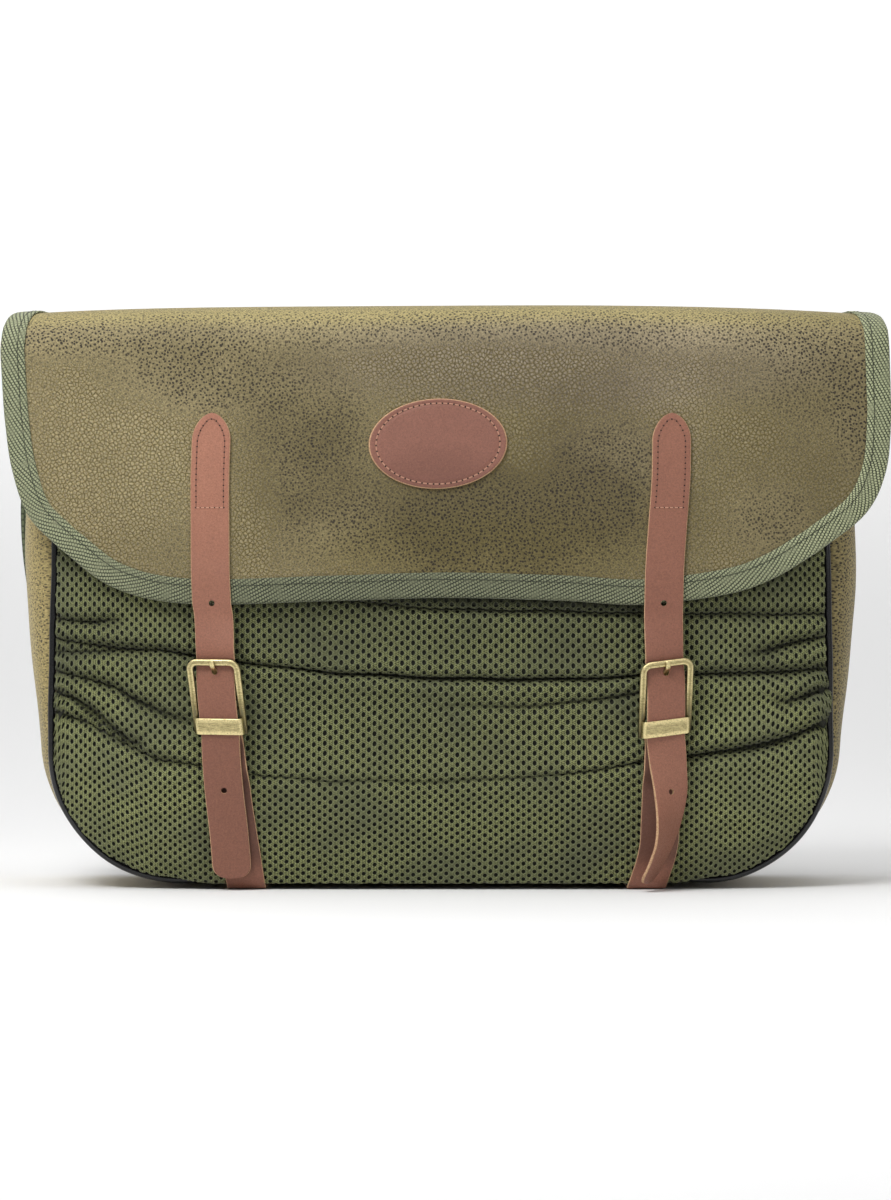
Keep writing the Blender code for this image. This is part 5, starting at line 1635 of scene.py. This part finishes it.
def make_buckle_strap(side, seat):
    """Strap that holds the buckle, down the front and under the base."""
    straight = np.array([1.0, 0.0, 0.0])
    stations = []

    def on_mesh(z, plies, across):
        x = strap_x(side, z)
        out = PRESSED + CLEAR + STRAP_THICK / 2 + (plies - 1) * (STRAP_THICK + CLEAR)
        out += abs(across[1]) * STRAP_WIDE / 2
        stations.append((np.array([x, float(pocket_face(x, z)) - out, z]), across))

    for z in RETURN_Z:
        on_mesh(z, 1, seat.across)
    for n in range(7):
        angle = math.pi * n / 6
        spot = seat.at(0, HEEL_H + LOOP_R * math.sin(angle), HEEL_D - LOOP_R * math.cos(angle))
        stations.append((spot, seat.across))
    for z in RETURN_Z[::-1]:
        on_mesh(z, 2, seat.across)
    for z in (RETURN_Z[0] - 8, 44, 34, 24):
        on_mesh(z, 1, straight)
    for forward, z in STRAP_WRAP:
        stations.append((np.array([strap_x(side, z), FRONT_Y - forward, z]), straight))
    for y in (FRONT_Y + 4, FRONT_Y + 20, STRAP_END_Y):
        stations.append((np.array([strap_x(side, 0), y, STRAP_THICK / 2]), straight))
    obj = strap_piece("buckle_leather_" + side, Strap(stations, (0, 0)), [])
    heights = np.array([vert.co.z for vert in obj.data.vertices]) / METRES
    # Painted shadow of the free tail on the strap below it
    marked(obj, "shaded", 0.6 * smoothstep((heights - 6.0) / 14.0) * smoothstep((84.0 - heights) / 10.0))
    hand_over(obj, "leather", "buckle_strap_" + side)


def brass(name, sections, wear_and_light):
    """Brass piece through sections, with how bright each of its points is from wear and painted highlight."""
    obj = loft(name, sections, ["brass"])
    return marked(obj, "wear_and_light", np.full(len(obj.data.vertices), wear_and_light))


def squared(values, power):
    """Cosines or sines of a circle's points, for a circle with squarer corners."""
    return np.sign(values) * np.abs(values) ** power


def buckle_frame(seat, turn):
    """Sides and top of the frame: (across, height, normal across, normal height), up the left and down."""
    half = FRAME_WIDE / 2 - FRAME_BAR / 2
    high = FRAME_HIGH - FRAME_BAR / 2
    radius = FRAME_CORNER - FRAME_BAR / 2
    path = [(-half, height, -1, 0) for height in (0.0, 12.0, 24.0)]
    for angle in np.linspace(0, math.pi / 2, 8):
        path.append((-(half - radius) - radius * math.cos(angle), high - radius + radius * math.sin(angle),
                     -math.cos(angle), math.sin(angle)))
    path += [(-a, height, -out_a, out_height) for a, height, out_a, out_height in path[::-1]]
    wide = squared(np.cos(turn), 0.6) * FRAME_BAR / 2
    deep = squared(np.sin(turn), 0.6) * FRAME_DEEP / 2
    sections = [[seat.at(a + out_a * off, height + out_height * off, d) for off, d in zip(wide, deep)]
                for a, height, out_a, out_height in path]
    # Worn and painted bright along the outer and inner front edges; painted shade on the inner side and down
    # towards the keeper
    edges = np.where(np.sin(turn) > -0.1, 0.30 + 1.2 * np.abs(np.cos(turn) * np.sin(turn)), 0.1)
    edges = edges * np.where(np.cos(turn) < -0.8, 0.2, 1.0)
    fade = [0.12 + 0.88 * float(smoothstep((height - 8.0) / 15.0)) for _, height, _, _ in path]
    return brass("frame", sections, np.clip(np.outer(fade, edges).ravel(), 0.0, 1.0))


def keeper_line(reach):
    """Points (across, out) of the keeper from its left foot to its right foot, moved out by a reach."""
    half = (KEEPER_WIDE - KEEPER_THICK) / 2 + reach
    top = KEEPER_OUT + reach
    bend = KEEPER_BEND + reach
    line = [(-half, KEEPER_BACK), (-half, (KEEPER_BACK + top - bend) / 2)]
    for angle in np.linspace(0, math.pi / 2, 6):
        line.append((-half + bend * (1 - math.cos(angle)), top - bend + bend * math.sin(angle)))
    line += [(-half / 2, top + 0.12), (0.0, top + 0.16)]
    return line + [(-a, d) for a, d in line[-2::-1]]


def buckle_keeper(seat):
    """Keeper with pinched edges, worn and painted bright at its edges and corners, in painted shade on its
    inner face.
    """
    outer, inner = keeper_line(KEEPER_THICK / 2), keeper_line(-KEEPER_THICK / 2)
    levels = ((0.0, 0.35), (0.12, 0.12), (0.45, 0.0), (2.5, 0.0), (KEEPER_HIGH / 2, 0.0),
              (KEEPER_HIGH - 2.5, 0.0), (KEEPER_HIGH - 0.45, 0.0), (KEEPER_HIGH - 0.12, 0.12),
              (KEEPER_HIGH, 0.35))
    rings, wear_and_light = [], []
    for level, pinch in levels:
        closer = keeper_line(KEEPER_THICK / 2 - pinch)
        rings.append([seat.at(a, KEEPER_LOW + level, d) for a, d in closer + inner[::-1]])
        edge = 1.0 if level < 0.5 or level > KEEPER_HIGH - 0.5 else 0.45
        wear_and_light += [max(edge, 0.8 if abs(a) > KEEPER_WIDE / 2 - 1.5 and d > 3.0 else 0.0) for a, d in outer]
        wear_and_light += [0.1] * len(inner)
    return brass("keeper", rings, wear_and_light)


def buckle_prong(name, seat, turn):
    """Prong with an eye round the heel bar and a bent, slimmer tip."""
    eye = []
    for angle in np.radians(75.0 - 18.0 * np.arange(16, -1, -1)):
        eye.append((HEEL_H + EYE_R * math.sin(angle), HEEL_D - EYE_R * math.cos(angle)))
    line = np.vstack([eye, smooth_line([eye[-1], *PRONG_WAY], 5)[1:]])
    wide = squared(np.cos(turn), 0.7) * PRONG_WIDE / 2
    deep = squared(np.sin(turn), 0.7) * PRONG_THICK / 2
    sections = []
    for (height, out), (up, fore) in zip(line, runs(line)):
        slim = 1.0 if height < 34 else 1.0 - 0.12 * (height - 34) / 5
        section = zip(wide * slim, deep * slim)
        sections.append([seat.at(w, height - s * fore, out + s * up) for w, s in section])
    return brass(name, sections, 0.75)


def make_buckle(side, seat):
    """Cast frame with its heel bar and keeper, and the prong."""
    turn = circle(20)
    frame_ring = buckle_frame(seat, turn)
    half = FRAME_WIDE / 2 - FRAME_BAR / 2
    sections = [[seat.at(end, HEEL_H + HEEL_R * math.sin(a), HEEL_D + HEEL_R * math.cos(a)) for a in turn]
                for end in np.linspace(-half, half, 6)]
    heel = brass("heel", sections, 0.2)
    keeper = buckle_keeper(seat)
    prong = buckle_prong("prong_brass_" + side, seat, turn)
    hand_over(joined("buckle_brass_" + side, [frame_ring, heel, keeper]), "brass", "buckle_" + side)
    hand_over(prong, "brass", "prong_" + side)


def make_panels():
    """Front and back panel. The back one has soft waves."""
    z_share = np.linspace(0, 1, 90)[:, None]
    x_share = np.linspace(-1, 1, 110)[None, :]
    line = x_share * (0.75 + 0.25 * x_share ** 2)
    for name, top, out, node in (("front_panel_cloth", MOUTH_Z, front_out, "front_panel"),
                                 ("back_panel_cloth", BACK_TOP, back_out, "back_panel")):
        low = seam_low(BODY_X + line * (SEAM_HALF - PANEL_INSET - 0.05), PANEL_INSET)
        z = low + (top - low) * z_share
        x = np.broadcast_to(BODY_X + line * (seam_half(z, PANEL_INSET) - 0.05), z.shape)
        y = out(x, z)
        if node == "back_panel":
            y = y + 0.5 * np.sin(x / 37.0 + 1.0) * np.sin(z / 41.0) * smoothstep(seam_distance(x, z) / 30.0)
        points, pattern = np.stack([x, y, z], axis=-1), np.stack([x, z], axis=-1)
        hand_over(cloth(name, points, pattern, PANEL_THICK, "panel"), "flap_fabric", node)


def make_gusset():
    """One strip round both sides and the base, swelling out between its seams, with slack wrinkles."""
    line = seam_line(MOUTH_Z, 0.0, 300)
    out = beside(runs(line))
    level = np.clip((line[:, 1] - GUSSET_FLAT_Z) / (GUSSET_FULL_Z - GUSSET_FLAT_Z), 0.0, 1.0)
    rise = np.sin(level * math.pi / 2) ** GUSSET_RISE
    bow = GUSSET_SWELL * rise + BASE_SAG * np.maximum(-out[:, 1], 0.0) ** 4
    way = lengths(line)[:, None]
    share = np.linspace(0, 1, 44)
    arched = np.maximum(1 - np.abs(2 * share - 1) ** 4, 0.0) ** 0.7
    slack = smoothstep((line[:, 1] - 20.0) / 60.0)[:, None] * np.sin(math.pi * share) ** 0.8
    wrinkle = 0.9 * np.sin(way / 21.0 + 2.2 * np.sin(share * 5.0)) + 0.5 * np.sin(way / 9.0 + share * 7.0)
    off = bow[:, None] * arched + 0.6 * slack * (wrinkle - 0.8)
    y = np.broadcast_to(FRONT_Y + GUSSET_GAP + (BACK_Y - FRONT_Y - 2 * GUSSET_GAP) * share, off.shape)
    points = np.stack([line[:, :1] + out[:, :1] * off, y, line[:, 1:] + out[:, 1:] * off], axis=-1)
    pattern = np.stack([y, np.broadcast_to(way, off.shape)], axis=-1)
    hand_over(cloth("gusset_cloth", points, pattern, GUSSET_THICK, "gusset"), "gusset_fabric", "gusset")


def make_piping():
    """Cords in the two seams, swaying a little in and out."""
    for name, y, top, node in (("front_piping_cord", FRONT_Y, MOUTH_Z, "front_piping"),
                               ("back_piping_cord", BACK_Y, BACK_TOP, "back_piping")):
        line = seam_line(top, 0.0, 340)
        way = lengths(line)
        out = beside(runs(line))
        sway = 0.25 * np.sin(way / 23.0) + 0.12 * np.sin(way / 7.3)
        rings = []
        for angle in circle(14):
            off = PIPING_R * math.cos(angle) + sway
            x, z = line[:, 0] + out[:, 0] * off, line[:, 1] + out[:, 1] * off
            rings.append(np.stack([x, np.full(len(line), y + PIPING_R * math.sin(angle)), z], axis=1))
        hand_over(loft(name, np.stack(rings, axis=1), ["piping"]), "piping", node)


def make_shoulder_strap():
    """Webbing loop: down the back from one top corner, across below and up to the other."""
    half = SHOULDER_WIDE / 2
    turn_r = (SHOULDER_THICK + CLEAR) / 2
    behind = np.array([0.0, 1.0, 0.0])
    start, stop = SHOULDER_LEFT[-1][0], SHOULDER_RIGHT[-1][0]
    # Both edges of the webbing and the direction out of its face, along the loop
    stations = []

    def resting(x, z):
        """Middle of the webbing where it lies on the back."""
        face = max(float(back_out(x, z)) + PANEL_THICK / 2, BACK_Y + PIPING_R)
        return np.array([x, face + CLEAR + SHOULDER_THICK / 2, z])

    def leg(points, sign):
        for x, z in points:
            stations.append((resting(x - sign * half, z), resting(x + sign * half, z), behind))

    def mitre(x, side):
        """Fold over a slanting line, which turns the webbing from upright to level."""
        upper = resting(x + side * half, SHOULDER_LOW + half)
        lower = resting(x - side * half, SHOULDER_LOW - half)
        out = unit(np.array([side, 0.0, -1.0]))
        for k in range(9):
            angle = math.radians(-90 + 22.5 * k) * -side
            normal = np.array([0.0, math.sin(angle), 0.0]) + out * math.cos(angle)
            shift = (normal + behind) * turn_r
            stations.append((upper + shift, lower + shift, -normal))

    leg(smooth_line(SHOULDER_LEFT, 6), 1)
    mitre(start, -1)
    folded_y = stations[-1][0][1]
    for share in np.linspace(0, 1, 24)[1:-1]:
        x = start + half + (stop - start - 2 * half) * share
        lift = folded_y - resting(x, SHOULDER_LOW)[1]
        a, b = resting(x, SHOULDER_LOW + half), resting(x, SHOULDER_LOW - half)
        a[1], b[1] = a[1] + lift, b[1] + lift
        stations.append((a, b, -behind))
    mitre(stop, 1)
    leg(smooth_line(SHOULDER_RIGHT, 10)[::-1], -1)
    thick = SHOULDER_THICK / 2
    profile = [(0.0, 0.45), (0.015, 0.9)] + [(share, 1.0) for share in np.linspace(0.05, 0.95, 9)]
    profile += [(0.985, 0.9), (1.0, 0.45)]
    profile += [(share, -level) for share, level in profile[::-1]]
    sections = [[a + (b - a) * share + normal * thick * level for share, level in profile]
                for a, b, normal in stations]
    middle = np.array([(a + b) / 2 for a, b, _ in stations])
    strap = loft("shoulder_webbing", sections, ["shoulder"],
                 around=ring_way(np.array(profile) * (SHOULDER_WIDE, thick)), along=lengths(middle))
    hand_over(strap, "webbing", "shoulder_strap")


# Stage, light and camera
def make_stage():
    """White floor that runs up into a backdrop in one wide curve."""
    profile = [(-4500.0, 0.0), (-1500.0, 0.0), (STAGE_FLAT, 0.0)]
    for angle in np.linspace(0, math.pi / 2, 48)[1:]:
        profile.append((STAGE_FLAT + STAGE_R * math.sin(angle), STAGE_R * (1 - math.cos(angle))))
    profile.append((STAGE_FLAT + STAGE_R, STAGE_TOP))
    points = np.array([[(x, y, z - STAGE_CLEAR) for x in (-STAGE_HALF, STAGE_HALF)] for y, z in profile])
    floor = piece("backdrop", points.reshape(-1, 3), grid_faces(len(profile), 2).tolist(), ["backdrop"])


def area_light(name, spot, aim, size, watts):
    """Rectangular lamp; its places and sizes are in metres."""
    lamp = bpy.data.lights.new(name, "AREA")
    lamp.shape = "RECTANGLE"
    lamp.size, lamp.size_y = size
    lamp.energy = watts
    obj = shown(name, lamp)
    obj.location = spot
    obj.rotation_euler = (Vector(aim) - Vector(spot)).to_track_quat("-Z", "Y").to_euler()


def make_light():
    """White surroundings, a key light from the upper left, a soft fill from the right and one from above."""
    world = bpy.data.worlds.new("studio")
    world.use_nodes = True
    background = world.node_tree.nodes["Background"]
    background.inputs["Color"].default_value = (1.0, 1.0, 1.0, 1.0)
    background.inputs["Strength"].default_value = WORLD_LIGHT
    bpy.context.scene.world = world
    area_light("key", (-0.6, -0.95, 1.3), (-0.02, 0, 0.15), (0.8, 0.6), 18.0)
    area_light("fill", (1.3, -1.9, 0.8), (0, 0, 0.12), (1.2, 1.2), 4.2)
    area_light("top", (-0.1, -0.15, 1.5), (0, 0, 0.2), (1.4, 0.8), 9.0)


def make_camera():
    lens = bpy.data.cameras.new("camera")
    lens.sensor_width = SENSOR
    lens.lens = SENSOR * CAMERA_BACK / (IMAGE_HIGH * PIXEL)
    camera = shown("camera", lens)
    across = (IMAGE_WIDE / 2 - MIDDLE_COLUMN) * PIXEL
    height = (GROUND_ROW - IMAGE_HIGH / 2) * PIXEL
    camera.location = Vector((across, FACE_Y - CAMERA_BACK, height)) * METRES
    camera.rotation_euler = (math.pi / 2, 0.0, 0.0)
    bpy.context.scene.camera = camera
    bpy.context.scene.view_settings.view_transform = "Standard"


FINISH.update(make_finishes())
TREES.update(stitches=stitch_tree(), perforations=perforation_tree())
make_camera()
make_light()
make_stage()
make_panels()
make_gusset()
make_piping()
make_mesh_pocket()
make_flap()
make_label()
for side in ("left", "right"):
    seat = Seat(side)
    make_billet(side, seat)
    make_buckle_strap(side, seat)
    make_buckle(side, seat)
make_shoulder_strap()
